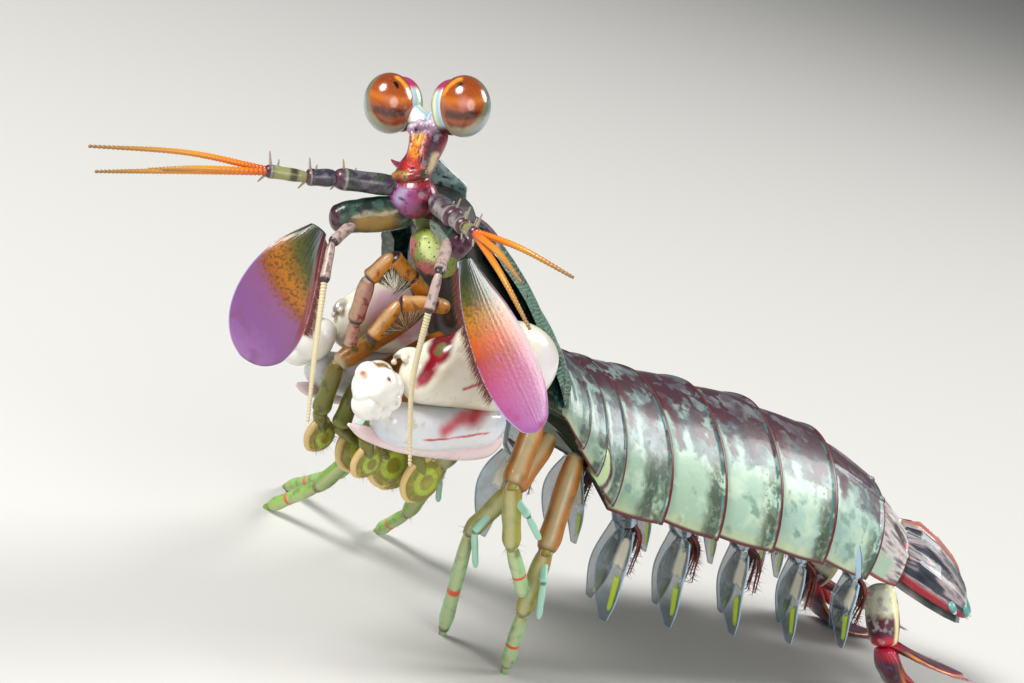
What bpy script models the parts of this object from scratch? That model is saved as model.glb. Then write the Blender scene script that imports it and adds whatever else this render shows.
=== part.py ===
"""A mantis shrimp in life size, standing on its legs with the front of the body raised.

Lengths are in millimetres until a mesh is made. The head points to -Y, the tail to +Y and the
animal's left side to +X. The floor is at z = 0, and the last step centres the animal over the origin.
"""

import math

import bmesh
import bpy
import numpy as np
from mathutils import Matrix, Vector
from mathutils.bvhtree import BVHTree

# Driving dimensions
MM = 0.001
GAP = 0.3
FLOOR = 0.0
FOOT_FLAT = 0.35

# The rear edge of the first abdominal somite, at the chord between its lower corners
BODY_START = Vector((0.55, 12.2, 15.1))
SHELL = 0.9

# Each step along the body: length, pitch down to the rear, yaw of the rear to the left, roll
REAR_STEPS = [
    (7.3, 7.8, 4.4, 0.0),
    (7.3, 5.5, 8.7, 0.0),
    (7.3, 7.0, 12.7, 0.0),
    (7.2, 14.4, 17.4, 0.0),
    (5.0, 26.0, 20.9, 0.0),
]
FRONT_STEPS = [
    (6.4, 16.0, -2.0, 0.0),
    (3.0, 20.0, -3.0, 0.0),
    (3.0, 24.0, -5.0, 1.0),
    (3.0, 28.0, -7.0, 3.0),
    (4.5, 34.0, -9.0, 6.0),
    (4.5, 40.0, -11.0, 9.0),
    (4.5, 44.0, -13.0, 12.0),
    (4.5, 46.0, -15.0, 15.0),
]

SOLVER = "MANIFOLD"
# Edges that turn more than this many degrees stay sharp
SHARP_ANGLE = 40
placed = []


# Scene helpers

def clear_scene():
    for obj in list(bpy.data.objects):
        bpy.data.objects.remove(obj, do_unlink=True)


def linear(hex_colour):
    channels = [int(hex_colour[i:i + 2], 16) / 255 for i in (1, 3, 5)]
    return [c / 12.92 if c <= 0.04045 else ((c + 0.055) / 1.055) ** 2.4 for c in channels] + [1.0]


def finish_material(name, hex_colour, roughness):
    material = bpy.data.materials.new(name)
    material.use_nodes = True
    shader = material.node_tree.nodes["Principled BSDF"]
    shader.inputs["Base Color"].default_value = linear(hex_colour)
    shader.inputs["Roughness"].default_value = roughness
    shader.inputs["Metallic"].default_value = 0.0
    return material


def new_object(name, bm):
    bmesh.ops.recalc_face_normals(bm, faces=bm.faces)
    bmesh.ops.triangulate(bm, faces=bm.faces)
    mesh = bpy.data.meshes.new(name)
    bm.to_mesh(mesh)
    bm.free()
    obj = bpy.data.objects.new(name, mesh)
    bpy.context.scene.collection.objects.link(obj)
    return obj


def loft(rings, name="piece"):
    """A closed solid through rings of equal point count, with a flat cap on each end."""
    bm = bmesh.new()
    loops = [[bm.verts.new(Vector(point) * MM) for point in ring] for ring in rings]
    for near, far in zip(loops, loops[1:]):
        for i in range(len(near)):
            j = (i + 1) % len(near)
            bm.faces.new((near[i], near[j], far[j], far[i]))
    bm.faces.new(loops[0])
    bm.faces.new(loops[-1])
    return new_object(name, bm)


def applied(obj):
    """Puts the evaluated shape into the object's own mesh and drops its modifiers."""
    graph = bpy.context.evaluated_depsgraph_get()
    mesh = bpy.data.meshes.new_from_object(obj.evaluated_get(graph))
    obj.modifiers.clear()
    old = obj.data
    obj.data = mesh
    bpy.data.meshes.remove(old)
    return obj


# Distances in mm under which points merge, with the angles in degrees under which faces join
CLEANUPS = ((0.015, 1.5), (0.02, 1.0), (0.006, 0.5), (0.003, 1.5), (0.001, 0.5), (0.0005, 0.01))
LEAST_HEIGHT = 0.004
CROSSING_PENALTY = 0.01


def closed(bm):
    return all(len(edge.link_faces) == 2 for edge in bm.edges)


def largest_shell(bm):
    """Deletes every closed surface but the one of the largest area."""
    unseen = set(bm.faces)
    shells = []
    while unseen:
        stack = [unseen.pop()]
        shell = list(stack)
        while stack:
            for edge in stack.pop().edges:
                for face in edge.link_faces:
                    if face in unseen:
                        unseen.remove(face)
                        stack.append(face)
                        shell.append(face)
        shells.append(shell)
    shells.sort(key=lambda shell: sum(face.calc_area() for face in shell))
    spare = [face for shell in shells[:-1] for face in shell]
    bmesh.ops.delete(bm, geom=spare, context="FACES")


def least_height(bm):
    """The height in millimetres of the thinnest triangle over its longest side."""
    return min(2 * face.calc_area() / max(edge.calc_length() for edge in face.edges) for face in bm.faces) / MM


def crosses_itself(bm):
    """Whether two triangles that share no corner cut each other."""
    tree = BVHTree.FromBMesh(bm)
    bm.faces.ensure_lookup_table()
    return any(not set(bm.faces[i].verts) & set(bm.faces[j].verts) for i, j in tree.overlap(tree) if i < j)


def cleaned(mesh, merge, flat):
    """The largest shell with slivers joined, and its thinnest triangle's height, or zero where it breaks."""
    bm = bmesh.new()
    bm.from_mesh(mesh)
    bmesh.ops.remove_doubles(bm, verts=bm.verts, dist=merge * MM)
    bmesh.ops.dissolve_degenerate(bm, edges=bm.edges, dist=merge * MM)
    largest_shell(bm)
    volume = bm.calc_volume()
    bmesh.ops.dissolve_limit(bm, angle_limit=math.radians(flat), verts=bm.verts, edges=bm.edges)
    bmesh.ops.triangulate(bm, faces=bm.faces)
    bmesh.ops.dissolve_degenerate(bm, edges=bm.edges, dist=merge * MM)
    bmesh.ops.triangulate(bm, faces=bm.faces)
    if not closed(bm) or abs(bm.calc_volume() - volume) > 0.01 * volume:
        return bm, 0.0
    return bm, least_height(bm) * (CROSSING_PENALTY if crosses_itself(bm) else 1.0)


def keep_largest(obj):
    """Keeps the largest closed surface and joins the flat slivers that a Boolean leaves."""
    best = 0.0
    source = obj.data.copy()
    for merge, flat in CLEANUPS:
        bm, height = cleaned(source, merge, flat)
        if height > best:
            bm.to_mesh(obj.data)
            best = height
        bm.free()
        if best > LEAST_HEIGHT:
            break
    bpy.data.meshes.remove(source)
    return obj


def fuse(name, pieces):
    """One solid made of overlapping closed pieces."""
    body = pieces[0]
    body.name = name
    if len(pieces) > 1:
        group = bpy.data.collections.new(name + "_pieces")
        bpy.context.scene.collection.children.link(group)
        for piece in pieces[1:]:
            bpy.context.scene.collection.objects.unlink(piece)
            group.objects.link(piece)
        union = body.modifiers.new("union", "BOOLEAN")
        union.operation = "UNION"
        union.operand_type = "COLLECTION"
        union.collection = group
        union.solver = SOLVER
        applied(body)
        for piece in pieces[1:]:
            bpy.data.objects.remove(piece, do_unlink=True)
        bpy.data.collections.remove(group)
    return keep_largest(body)


def grown_copy(obj, distance):
    """A copy whose surface stands off by the given distance."""
    bm = bmesh.new()
    bm.from_mesh(obj.data)
    bm.normal_update()
    offsets = [vert.normal * min(vert.calc_shell_factor(), 1.6) * distance * MM for vert in bm.verts]
    for vert, offset in zip(bm.verts, offsets):
        vert.co += offset
    return new_object(obj.name + "_grown", bm)


def cut_away(obj, cutter):
    cut = obj.modifiers.new("cut", "BOOLEAN")
    cut.operation = "DIFFERENCE"
    cut.object = cutter
    cut.solver = SOLVER
    applied(obj)


def tree_of(obj):
    bm = bmesh.new()
    bm.from_mesh(obj.data)
    tree = BVHTree.FromBMesh(bm)
    bm.free()
    return tree


def box_of(obj):
    points = np.array([vert.co for vert in obj.data.vertices])
    return points.min(axis=0), points.max(axis=0)


def near(first, second, distance):
    low_a, high_a = box_of(first)
    low_b, high_b = box_of(second)
    return bool(np.all(low_a < high_b + distance) and np.all(low_b < high_a + distance))


def place(obj, hex_colour, roughness=0.4, ignore=()):
    """Cuts the piece clear of every piece placed before it and gives it its finish."""
    for other in placed:
        if other.name in ignore or not near(obj, other, GAP * MM):
            continue
        cutter = grown_copy(other, GAP)
        if tree_of(obj).overlap(tree_of(cutter)):
            cut_away(obj, cutter)
            keep_largest(obj)
        bpy.data.objects.remove(cutter, do_unlink=True)
    obj.data.materials.clear()
    obj.data.materials.append(finish_material(obj.name + "_finish", hex_colour, roughness))
    obj.data.shade_smooth()
    obj.data.set_sharp_from_angle(angle=math.radians(SHARP_ANGLE))
    placed.append(obj)
    return obj


# Curves and sections

def smooth_path(points, count):
    """Points read at even parameters from a Catmull-Rom curve through the given ones."""
    points = [Vector(point) for point in points]
    ends = [points[0] * 2 - points[1]] + points + [points[-1] * 2 - points[-2]]
    path = []
    for step in range(count):
        at = step * (len(points) - 1) / (count - 1)
        i = min(int(at), len(points) - 2)
        u = at - i
        a, b, c, d = ends[i:i + 4]
        path.append(((b * 2) + (c - a) * u + (a * 2 - b * 5 + c * 4 - d) * u ** 2
                     + (b * 3 - a - c * 3 + d) * u ** 3) * 0.5)
    return path


def read(values, at):
    """The value at a share from 0 to 1 along an evenly spaced list."""
    return float(np.interp(at, np.linspace(0.0, 1.0, len(values)), values))


def tube(path, widths, heights=None, sides=8, hint=(1, 0, 0), turn=0.0):
    """Rings across a path. The hint gives the direction in which the width is measured."""
    heights = heights or widths
    hint = Vector(hint)
    rings = []
    last = len(path) - 1
    for i, centre in enumerate(path):
        along = (path[min(i + 1, last)] - path[max(i - 1, 0)]).normalized()
        side = (hint - along * hint.dot(along)).normalized()
        up = along.cross(side)
        half_w = read(widths, i / last)
        half_h = read(heights, i / last)
        ring = []
        for k in range(sides):
            angle = 2 * math.pi * k / sides + turn
            ring.append(centre + side * half_w * math.cos(angle) + up * half_h * math.sin(angle))
        rings.append(ring)
    return loft(rings)


def chain(joints, radii, sides=8, hint=(1, 0, 0), flat=1.0, neck=0.7, tip=0.5):
    """A limb of straight segments, each swollen behind its far joint and narrowed at the joints."""
    joints = [Vector(joint) for joint in joints]
    path = [joints[0]]
    widths = [radii[0] * 0.9]
    for i, radius in enumerate(radii):
        start, end = joints[i], joints[i + 1]
        for share, swell in ((0.16, 0.95), (0.8, 1.0)):
            path.append(start.lerp(end, share))
            widths.append(radius * swell)
        path.append(end)
        following = radii[i + 1] if i + 1 < len(radii) else radius * tip / neck
        widths.append(min(radius, following) * neck)
    hint = Vector(hint)
    rings = []
    last = len(path) - 1
    for i, centre in enumerate(path):
        along = (path[min(i + 1, last)] - path[max(i - 1, 0)]).normalized()
        side = (hint - along * hint.dot(along)).normalized()
        up = along.cross(side)
        ring = []
        for k in range(sides):
            angle = 2 * math.pi * k / sides
            ring.append(centre + side * widths[i] * flat * math.cos(angle) + up * widths[i] * math.sin(angle))
        rings.append(ring)
    return loft(rings)


def spine(root, tip, radius, sides=5):
    root, tip = Vector(root), Vector(tip)
    hint = (0, 0, 1) if abs((tip - root).normalized().z) < 0.8 else (1, 0, 0)
    return tube([root, root.lerp(tip, 0.6), tip], [radius, radius * 0.55, 0.08], sides=sides, hint=hint)


def ellipsoid(centre, axes, radii, rows=8, sides=12):
    """A closed ball stretched along three directions; the first axis joins its two poles."""
    centre = Vector(centre)
    pole, side, up = (Vector(axis).normalized() for axis in axes)
    rings = []
    for row in range(1, rows):
        polar = math.pi * row / rows
        ring = []
        for k in range(sides):
            angle = 2 * math.pi * k / sides
            out = side * radii[1] * math.cos(angle) + up * radii[2] * math.sin(angle)
            ring.append(centre - pole * radii[0] * math.cos(polar) + out * math.sin(polar))
        rings.append(ring)
    bm = bmesh.new()
    loops = [[bm.verts.new(point * MM) for point in ring] for ring in rings]
    first = bm.verts.new((centre - pole * radii[0]) * MM)
    final = bm.verts.new((centre + pole * radii[0]) * MM)
    for k in range(sides):
        m = (k + 1) % sides
        bm.faces.new((first, loops[0][m], loops[0][k]))
        bm.faces.new((final, loops[-1][k], loops[-1][m]))
        for low, high in zip(loops, loops[1:]):
            bm.faces.new((low[k], low[m], high[m], high[k]))
    return new_object("ball", bm)


# The body's line

class Station:
    """A place on the body's line: its point and the directions rearward, left and up."""

    def __init__(self, point, pitch, yaw, roll):
        self.point = point
        pitch, yaw, roll = (math.radians(angle) for angle in (pitch, yaw, roll))
        self.back = Vector((math.sin(yaw) * math.cos(pitch), math.cos(yaw) * math.cos(pitch), -math.sin(pitch)))
        left = Vector((math.cos(yaw), -math.sin(yaw), 0.0))
        up = left.cross(self.back)
        self.left = left * math.cos(roll) + up * math.sin(roll)
        self.up = up * math.cos(roll) - left * math.sin(roll)

    def at(self, left, up, back=0.0):
        return self.point + self.left * left + self.up * up + self.back * back


def direction_of(step):
    pitch, yaw = math.radians(step[1]), math.radians(step[2])
    return Vector((math.sin(yaw) * math.cos(pitch), math.cos(yaw) * math.cos(pitch), -math.sin(pitch)))


def walk(start, steps, sign):
    """Stations at the end of each step, turned halfway between this step and the next."""
    point = start.copy()
    stations = []
    for i, step in enumerate(steps):
        point = point + direction_of(step) * step[0] * sign
        following = steps[min(i + 1, len(steps) - 1)]
        angles = [(step[k] + following[k]) / 2 for k in (1, 2, 3)]
        stations.append(Station(point.copy(), *angles))
    return stations


def blend(first, second, share):
    """A station between two others."""
    mid = Station(first.point.lerp(second.point, share), 0, 0, 0)
    mid.back = first.back.lerp(second.back, share).normalized()
    mid.left = first.left.lerp(second.left, share).normalized()
    mid.up = mid.left.cross(mid.back).normalized()
    return mid


joint_angles = [(REAR_STEPS[0][k] + FRONT_STEPS[0][k]) / 2 for k in (1, 2, 3)]
STATION_A1 = Station(BODY_START, *joint_angles)
REAR = [STATION_A1] + walk(BODY_START, REAR_STEPS, 1)
FRONT = [STATION_A1] + walk(BODY_START, FRONT_STEPS, -1)


def arch(station, half_width, hem, top, power, count, back=0.0):
    """Points over the back from the left lower edge to the right one."""
    points = []
    for k in range(count + 1):
        angle = math.pi * k / count
        c, s = math.cos(angle), math.sin(angle)
        across = half_width * math.copysign(abs(c) ** (2 / power), c)
        height = hem + (top - hem) * abs(s) ** (2 / power)
        points.append(station.at(across, height, back))
    return points


# Abdomen and the three free thoracic somites

ARCH_POINTS = 14
ARCH_POWER = 1.75
PLEURON = 2.2


def hoop(station, half_width, hem, top, belly, back=0.0):
    """A somite's section: the arched back, the side plates and the flat belly between them."""
    outer = arch(station, half_width, hem, top, ARCH_POWER, ARCH_POINTS, back)
    inner = [
        station.at(-half_width + SHELL, hem + 0.2, back),
        station.at(-half_width + SHELL * 2, belly, back),
        station.at(0.0, belly - 0.3, back),
        station.at(half_width - SHELL * 2, belly, back),
        station.at(half_width - SHELL, hem + 0.2, back),
    ]
    return outer + inner


def somite(name, front, rear, sizes, colour):
    """One ring of the shell, a little wider at its rear edge, where it covers the next one."""
    (front_w, rear_w), (front_hem, rear_hem), (front_top, rear_top), belly = sizes
    rings = []
    for share, swell in ((0.0, 0.95), (0.14, 0.975), (0.55, 1.0), (0.93, 1.015), (1.0, 1.0)):
        station = blend(front, rear, share)
        half_width = (front_w + (rear_w - front_w) * share) * swell
        hem = front_hem + (rear_hem - front_hem) * share
        top = (front_top + (rear_top - front_top) * share) * swell
        back = GAP / 2 if share == 0.0 else -GAP / 2 if share == 1.0 else 0.0
        rings.append(hoop(station, half_width, hem, top, hem + belly, back))
    return place(loft(rings, name), colour, 0.35, ignore=[other.name for other in placed])


# Half width, lower edge, top and belly at the front and rear edge of each abdominal somite
ABDOMEN_SIZES = [
    ((9.8, 10.3), (-1.0, 0.0), (8.9, 9.5), PLEURON),
    ((10.4, 10.8), (0.2, 0.0), (9.6, 9.8), PLEURON),
    ((10.7, 10.6), (0.2, 0.0), (9.7, 9.7), PLEURON),
    ((10.5, 9.7), (0.2, 0.0), (9.6, 9.0), PLEURON),
    ((9.6, 7.6), (0.3, 0.3), (8.9, 7.3), PLEURON),
    ((7.4, 5.4), (0.8, 1.6), (7.2, 6.1), 1.6),
]
THORAX_SIZES = [
    ((8.8, 9.5), (0.6, -0.6), (8.1, 8.7), 1.9),
    ((8.2, 8.8), (1.4, 0.7), (7.8, 8.2), 1.6),
    ((7.5, 8.2), (2.1, 1.5), (7.3, 7.8), 1.4),
]


def make_somites():
    pairs = [(FRONT[1], FRONT[0])] + list(zip(REAR, REAR[1:]))
    for number, ((front, rear), sizes) in enumerate(zip(pairs, ABDOMEN_SIZES), start=1):
        somite(f"abdomen_somite_{number}", front, rear, sizes, "#7E9C8B")
    for number, sizes in zip((8, 7, 6), THORAX_SIZES):
        step = 9 - number
        somite(f"thorax_somite_{number}", FRONT[step + 1], FRONT[step], sizes, "#6E8B7C")


# Head end of the trunk: core, carapace and rostral plate

# Along the carapace from rear to front: half width, lower edge, top
CARAPACE_SIZES = [(6.7, 2.8, 7.0), (6.8, 3.4, 7.5), (6.5, 3.5, 7.3), (5.9, 3.4, 7.0), (4.5, 3.1, 6.5)]
LABRUM_TOP = Vector((5.2, -16.7, 36.0))
LABRUM_MID = Vector((5.7, -16.6, 34.6))
LABRUM_LOW = Vector((6.1, -16.0, 33.0))
BULB = Vector((4.1, -18.3, 38.0))


def carapace_size(share):
    return [read([size[k] for size in CARAPACE_SIZES], share) for k in range(3)]


def carapace_station(share):
    stations = FRONT[4:9]
    at = share * (len(stations) - 1)
    i = min(int(at), len(stations) - 2)
    return blend(stations[i], stations[i + 1], at - i)


def make_thorax():
    rings = []
    for share in (0.0, 0.2, 0.45, 0.7, 0.9, 1.0):
        station = carapace_station(share)
        half_width, hem, top = carapace_size(share)
        back = -GAP if share == 0.0 else 0.0
        wide = (half_width - SHELL - 0.7) * (0.92 if share < 1.0 else 0.8)
        roof = top - SHELL - GAP - 0.1
        floor = read([1.2, 1.0, 0.6, 1.2, 2.4], share)
        middle = (roof + floor) / 2
        ring = []
        for k in range(14):
            angle = 2 * math.pi * k / 14
            ring.append(station.at(wide * math.cos(angle), middle + (roof - floor) / 2 * math.sin(angle), back))
        rings.append(ring)
    core = loft(rings)
    front = carapace_station(1.0)
    face = tube([front.at(0, 4.4, 1.5), front.at(0.0, 4.6, -1.6), LABRUM_TOP + Vector((-0.6, 0.9, 0.6))],
                [3.6, 3.0, 1.7], [2.4, 2.2, 1.6], sides=12)
    labrum = tube(smooth_path([LABRUM_TOP, LABRUM_MID, LABRUM_LOW], 6),
                  [0.9, 1.45, 1.5, 1.45, 1.2, 0.6], sides=12)
    cheek = tube([LABRUM_LOW + Vector((-0.4, 1.2, 0.8)), front.at(0.4, 2.6, 0.4)], [1.3, 2.2], sides=10)
    piece = fuse("thorax", [core, face, labrum, cheek])
    return place(piece, "#8A9A55", 0.35)


def make_carapace():
    count = 18
    rings = []
    for share in (0.0, 0.12, 0.3, 0.5, 0.7, 0.88, 1.0):
        station = carapace_station(share)
        half_width, hem, top = carapace_size(share)
        back = -GAP if share == 0.0 else 0.0
        thin = 0.6 if share in (0.0, 1.0) else SHELL
        outer = arch(station, half_width, hem, top, 2.2, count, back)
        inner = arch(station, half_width - thin, hem, top - thin, 2.2, count, back)
        groove = 0.35 if 0.0 < share < 1.0 else 0.0
        for k in (5, 13):
            outer[k] = outer[k] - station.up * groove * 0.9
        rings.append(outer + inner[::-1])
    piece = loft(rings, "carapace")
    return place(piece, "#3F6350", 0.35)


def make_rostral_plate():
    front = carapace_station(1.0)
    base = front.at(-0.6, 6.4, -0.4)
    tip = base + Vector((0.1, -2.6, 3.6))
    path = [base, base.lerp(tip, 0.3), base.lerp(tip, 0.5), base.lerp(tip, 0.75), tip]
    piece = tube(path, [1.7, 2.0, 2.2, 1.2, 0.25], [0.35, 0.38, 0.4, 0.35, 0.2], sides=10, hint=front.left)
    piece.name = "rostral_plate"
    return place(piece, "#6C8B86", 0.3)


# Head and eyes

HEAD_LEFT = Vector((0.88, 0.285, 0.381))
HEAD_UP = Vector((-0.381, -0.056, 0.923))
HEAD_FORWARD = Vector((0.284, -0.957, 0.060))
NECK_TOP = Vector((3.0, -17.8, 43.0))
EYES = {"right": Vector((-0.3, -19.2, 43.6)), "left": Vector((5.3, -17.2, 45.5))}
EYE_AXES = {"right": Vector((0.05, -1.0, -0.04)), "left": Vector((0.92, 0.03, 0.38))}
EYE_RADII = (2.0, 1.9, 2.25)


def make_head():
    bulb = ellipsoid(BULB, (HEAD_UP, HEAD_LEFT, HEAD_FORWARD), (1.7, 2.0, 1.6), rows=6, sides=12)
    neck_path = [BULB + HEAD_UP * 0.2, BULB + HEAD_UP * 1.6, BULB.lerp(NECK_TOP, 0.55), NECK_TOP - HEAD_UP * 0.6,
                 NECK_TOP]
    neck = tube(neck_path, [1.5, 1.4, 1.3, 1.45, 1.1], [1.3, 1.2, 1.1, 1.2, 0.9], sides=12, hint=HEAD_LEFT)
    front = carapace_station(1.0)
    brow = tube([front.at(0.0, 5.0, -1.2), BULB - HEAD_FORWARD * 0.6], [1.8, 1.6], [1.2, 1.3], sides=12)
    pieces = [bulb, neck, brow]
    for side in (-1, 1):
        root = BULB + HEAD_UP * 2.2 + HEAD_LEFT * side * 0.9
        pieces.append(spine(root, root + HEAD_LEFT * side * 1.0 + HEAD_UP * 0.6, 0.35))
    piece = fuse("head", pieces)
    return place(piece, "#8E2038", 0.3)


def make_eye(side_name):
    centre = EYES[side_name]
    outward = EYE_AXES[side_name].normalized()
    tall = (HEAD_UP - outward * HEAD_UP.dot(outward)).normalized()
    deep = outward.cross(tall)
    rim = -0.30
    rows, sides = 7, 14
    rings = []
    start = math.acos(-rim)
    for row in range(rows):
        polar = start + (math.pi - 0.12 - start) * row / (rows - 1)
        ring = []
        for k in range(sides):
            angle = 2 * math.pi * k / sides
            out = deep * EYE_RADII[1] * math.cos(angle) + tall * EYE_RADII[2] * math.sin(angle)
            ring.append(centre - outward * EYE_RADII[0] * math.cos(polar) + out * math.sin(polar))
        rings.append(ring)
    cornea = loft(rings, f"eye_{side_name}")
    place(cornea, "#A8552A", 0.12)
    face = centre + outward * (rim * EYE_RADII[0] - GAP)
    cup = ellipsoid(face - outward * 0.3, (outward, deep, tall), (1.3, 1.8, 2.05), rows=6, sides=12)
    root = NECK_TOP + HEAD_UP * 0.1
    stem = tube([face - outward * 0.5, root], [1.0, 0.7], sides=9, hint=deep)
    stalk = fuse(f"eyestalk_{side_name}", [cup, stem])
    place(stalk, "#D9D2CB", 0.25)


# Antennules, antennae and their scales

ANTENNULES = {
    "right": {
        "joints": [(3.3, -19.0, 38.4), (1.4, -23.6, 37.9), (0.6, -25.5, 37.5), (-0.8, -28.2, 37.2)],
        "whips": [
            [(-0.8, -28.1, 37.3), (-3.3, -33.5, 37.1), (-6.1, -39.7, 35.9)],
            [(-0.8, -28.1, 37.1), (-3.2, -33.8, 35.7), (-5.1, -39.3, 34.4)],
            [(-0.6, -28.1, 37.2), (-2.2, -32.6, 36.4), (-4.1, -35.7, 35.3)],
        ],
    },
    "left": {
        "joints": [(6.2, -17.9, 38.4), (10.8, -19.8, 38.6), (13.5, -21.3, 38.9), (16.3, -22.7, 39.3)],
        "whips": [
            [(16.2, -22.6, 39.4), (20.9, -22.7, 40.0), (25.0, -21.2, 39.6)],
            [(16.2, -22.6, 39.2), (21.4, -24.2, 38.2), (25.2, -23.8, 35.8)],
            [(16.2, -22.7, 39.3), (20.6, -24.2, 39.4), (24.4, -25.1, 38.7)],
        ],
    },
}
ANTENNAE = {
    "right": {
        "protopod": [(4.0, -17.8, 36.9), (2.8, -20.2, 35.9), (1.5, -23.1, 34.8)],
        "stalk": [(2.6, -21.6, 35.2), (3.4, -23.8, 33.6), (4.9, -24.7, 31.1)],
        "whip": [(4.9, -24.7, 31.1), (7.0, -25.4, 26.4), (8.7, -25.6, 21.7)],
        "scale": [(1.5, -23.7, 34.1), (1.5, -25.2, 31.2), (1.8, -26.2, 27.6), (2.8, -26.4, 23.6)],
    },
    "left": {
        "protopod": [(6.4, -16.9, 36.8), (9.4, -18.4, 37.2), (12.4, -19.9, 37.0)],
        "stalk": [(11.0, -20.0, 37.0), (14.3, -23.0, 35.5), (15.0, -23.5, 32.9)],
        "whip": [(15.0, -23.5, 32.9), (15.1, -23.0, 27.6), (16.1, -21.8, 21.8)],
        "scale": [(13.3, -20.2, 36.5), (15.6, -19.2, 33.8), (18.1, -17.6, 30.6), (20.8, -15.4, 26.8)],
    },
}
WHIP_RADIUS = 0.28
SCALE_HALF_WIDTHS = [0.6, 1.2, 1.8, 2.3, 2.65, 2.85, 2.8, 2.3, 1.1]
SCALE_THICKNESS = [0.5, 0.45, 0.4, 0.36, 0.33, 0.3, 0.28, 0.27, 0.25]


def whip(points, count=6):
    path = smooth_path(points, count)
    along = (path[-1] - path[0]).normalized()
    hint = (0, 0, 1) if abs(along.z) < 0.8 else (1, 0, 0)
    return tube(path, [WHIP_RADIUS, WHIP_RADIUS, WHIP_RADIUS * 0.95, 0.16], sides=5, hint=hint)


def make_antennule(side_name):
    shape = ANTENNULES[side_name]
    joints = [Vector(joint) for joint in shape["joints"]]
    pieces = [chain(joints, [0.95, 0.8, 0.7], sides=8, hint=(0, 0, 1))]
    for start, end in zip(joints, joints[1:]):
        root = start.lerp(end, 0.85)
        pieces.append(spine(root, root + Vector((0, 0, 1.5)) + (end - start).normalized() * 0.5, 0.32))
    pieces += [whip(points) for points in shape["whips"]]
    piece = fuse(f"antennule_{side_name}", pieces)
    return place(piece, "#5E5340", 0.35)


def make_antenna(side_name):
    shape = ANTENNAE[side_name]
    protopod = chain([Vector(shape["protopod"][k]) for k in (0, 2)], [1.35], sides=8, hint=(0, 0, 1), flat=0.85,
                     tip=0.85)
    stalk = chain(shape["stalk"], [0.6, 0.5], sides=7, hint=(0, 1, 0))
    piece = fuse(f"antenna_{side_name}", [protopod, stalk, whip(shape["whip"])])
    return place(piece, "#3E4A3A", 0.35)


def make_scale(side_name):
    path = smooth_path(ANTENNAE[side_name]["scale"], 9)
    across = Vector((0.62, 0.725, 0.3)) if side_name == "right" else Vector((-0.12, 1.0, 0.2))
    piece = tube(path, SCALE_HALF_WIDTHS, SCALE_THICKNESS, sides=10, hint=across)
    piece.name = f"antennal_scale_{side_name}"
    return place(piece, "#C8662E", 0.3)


# Raptorial claws

CLAWS = {
    "left": {
        "merus": [(10.9, -6.4, 27.0), (10.9, -9.4, 27.8), (10.5, -14.0, 27.4), (9.9, -19.4, 25.8)],
        "carpus": (9.8, -21.4, 24.9),
        "propodus": [(9.8, -20.6, 22.7), (10.1, -16.5, 22.4), (10.4, -12.5, 22.8), (10.6, -8.8, 23.4)],
        "dactyl": [(10.5, -8.6, 22.4), (10.3, -11.5, 21.2), (10.0, -15.5, 20.9), (9.5, -20.0, 21.3),
                   (9.3, -22.4, 22.0)],
        "ischium": (7.4, -3.6, 26.2),
    },
    "right": {
        "merus": [(-2.6, -4.2, 26.4), (-2.3, -8.0, 27.2), (-1.8, -12.6, 26.8), (-1.1, -17.2, 25.5)],
        "carpus": (-1.2, -19.1, 24.3),
        "propodus": [(-1.2, -18.3, 22.2), (-1.5, -14.4, 21.7), (-1.9, -10.4, 22.0), (-2.2, -6.7, 22.6)],
        "dactyl": [(-2.2, -6.5, 21.6), (-1.9, -9.4, 20.4), (-1.5, -13.4, 20.1), (-1.0, -17.6, 20.5),
                   (-0.8, -19.6, 21.0)],
        "ischium": (0.6, -2.6, 25.6),
    },
}
# Half widths and half heights of each claw piece from its root to its end
MERUS_SECTIONS = [1.1, 1.8, 2.1, 2.2, 2.2, 2.1, 1.9, 1.6, 1.1], [1.7, 2.6, 3.2, 3.5, 3.5, 3.3, 2.9, 2.3, 1.4]
PROPODUS_SECTIONS = [1.2, 1.6, 1.8, 1.9, 1.9, 1.8, 1.6, 1.0], [1.1, 1.5, 1.7, 1.8, 1.8, 1.8, 1.6, 1.0]
DACTYL_SECTIONS = [0.8, 1.5, 1.3, 0.95, 0.8, 0.7, 0.6, 0.45, 0.15], [0.8, 1.4, 1.2, 1.0, 0.9, 0.8, 0.6, 0.45, 0.15]
CARPUS_RADII = (2.35, 1.8, 2.0)
CARPUS_LOBE_RADII = (1.0, 0.95, 0.85)


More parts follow.
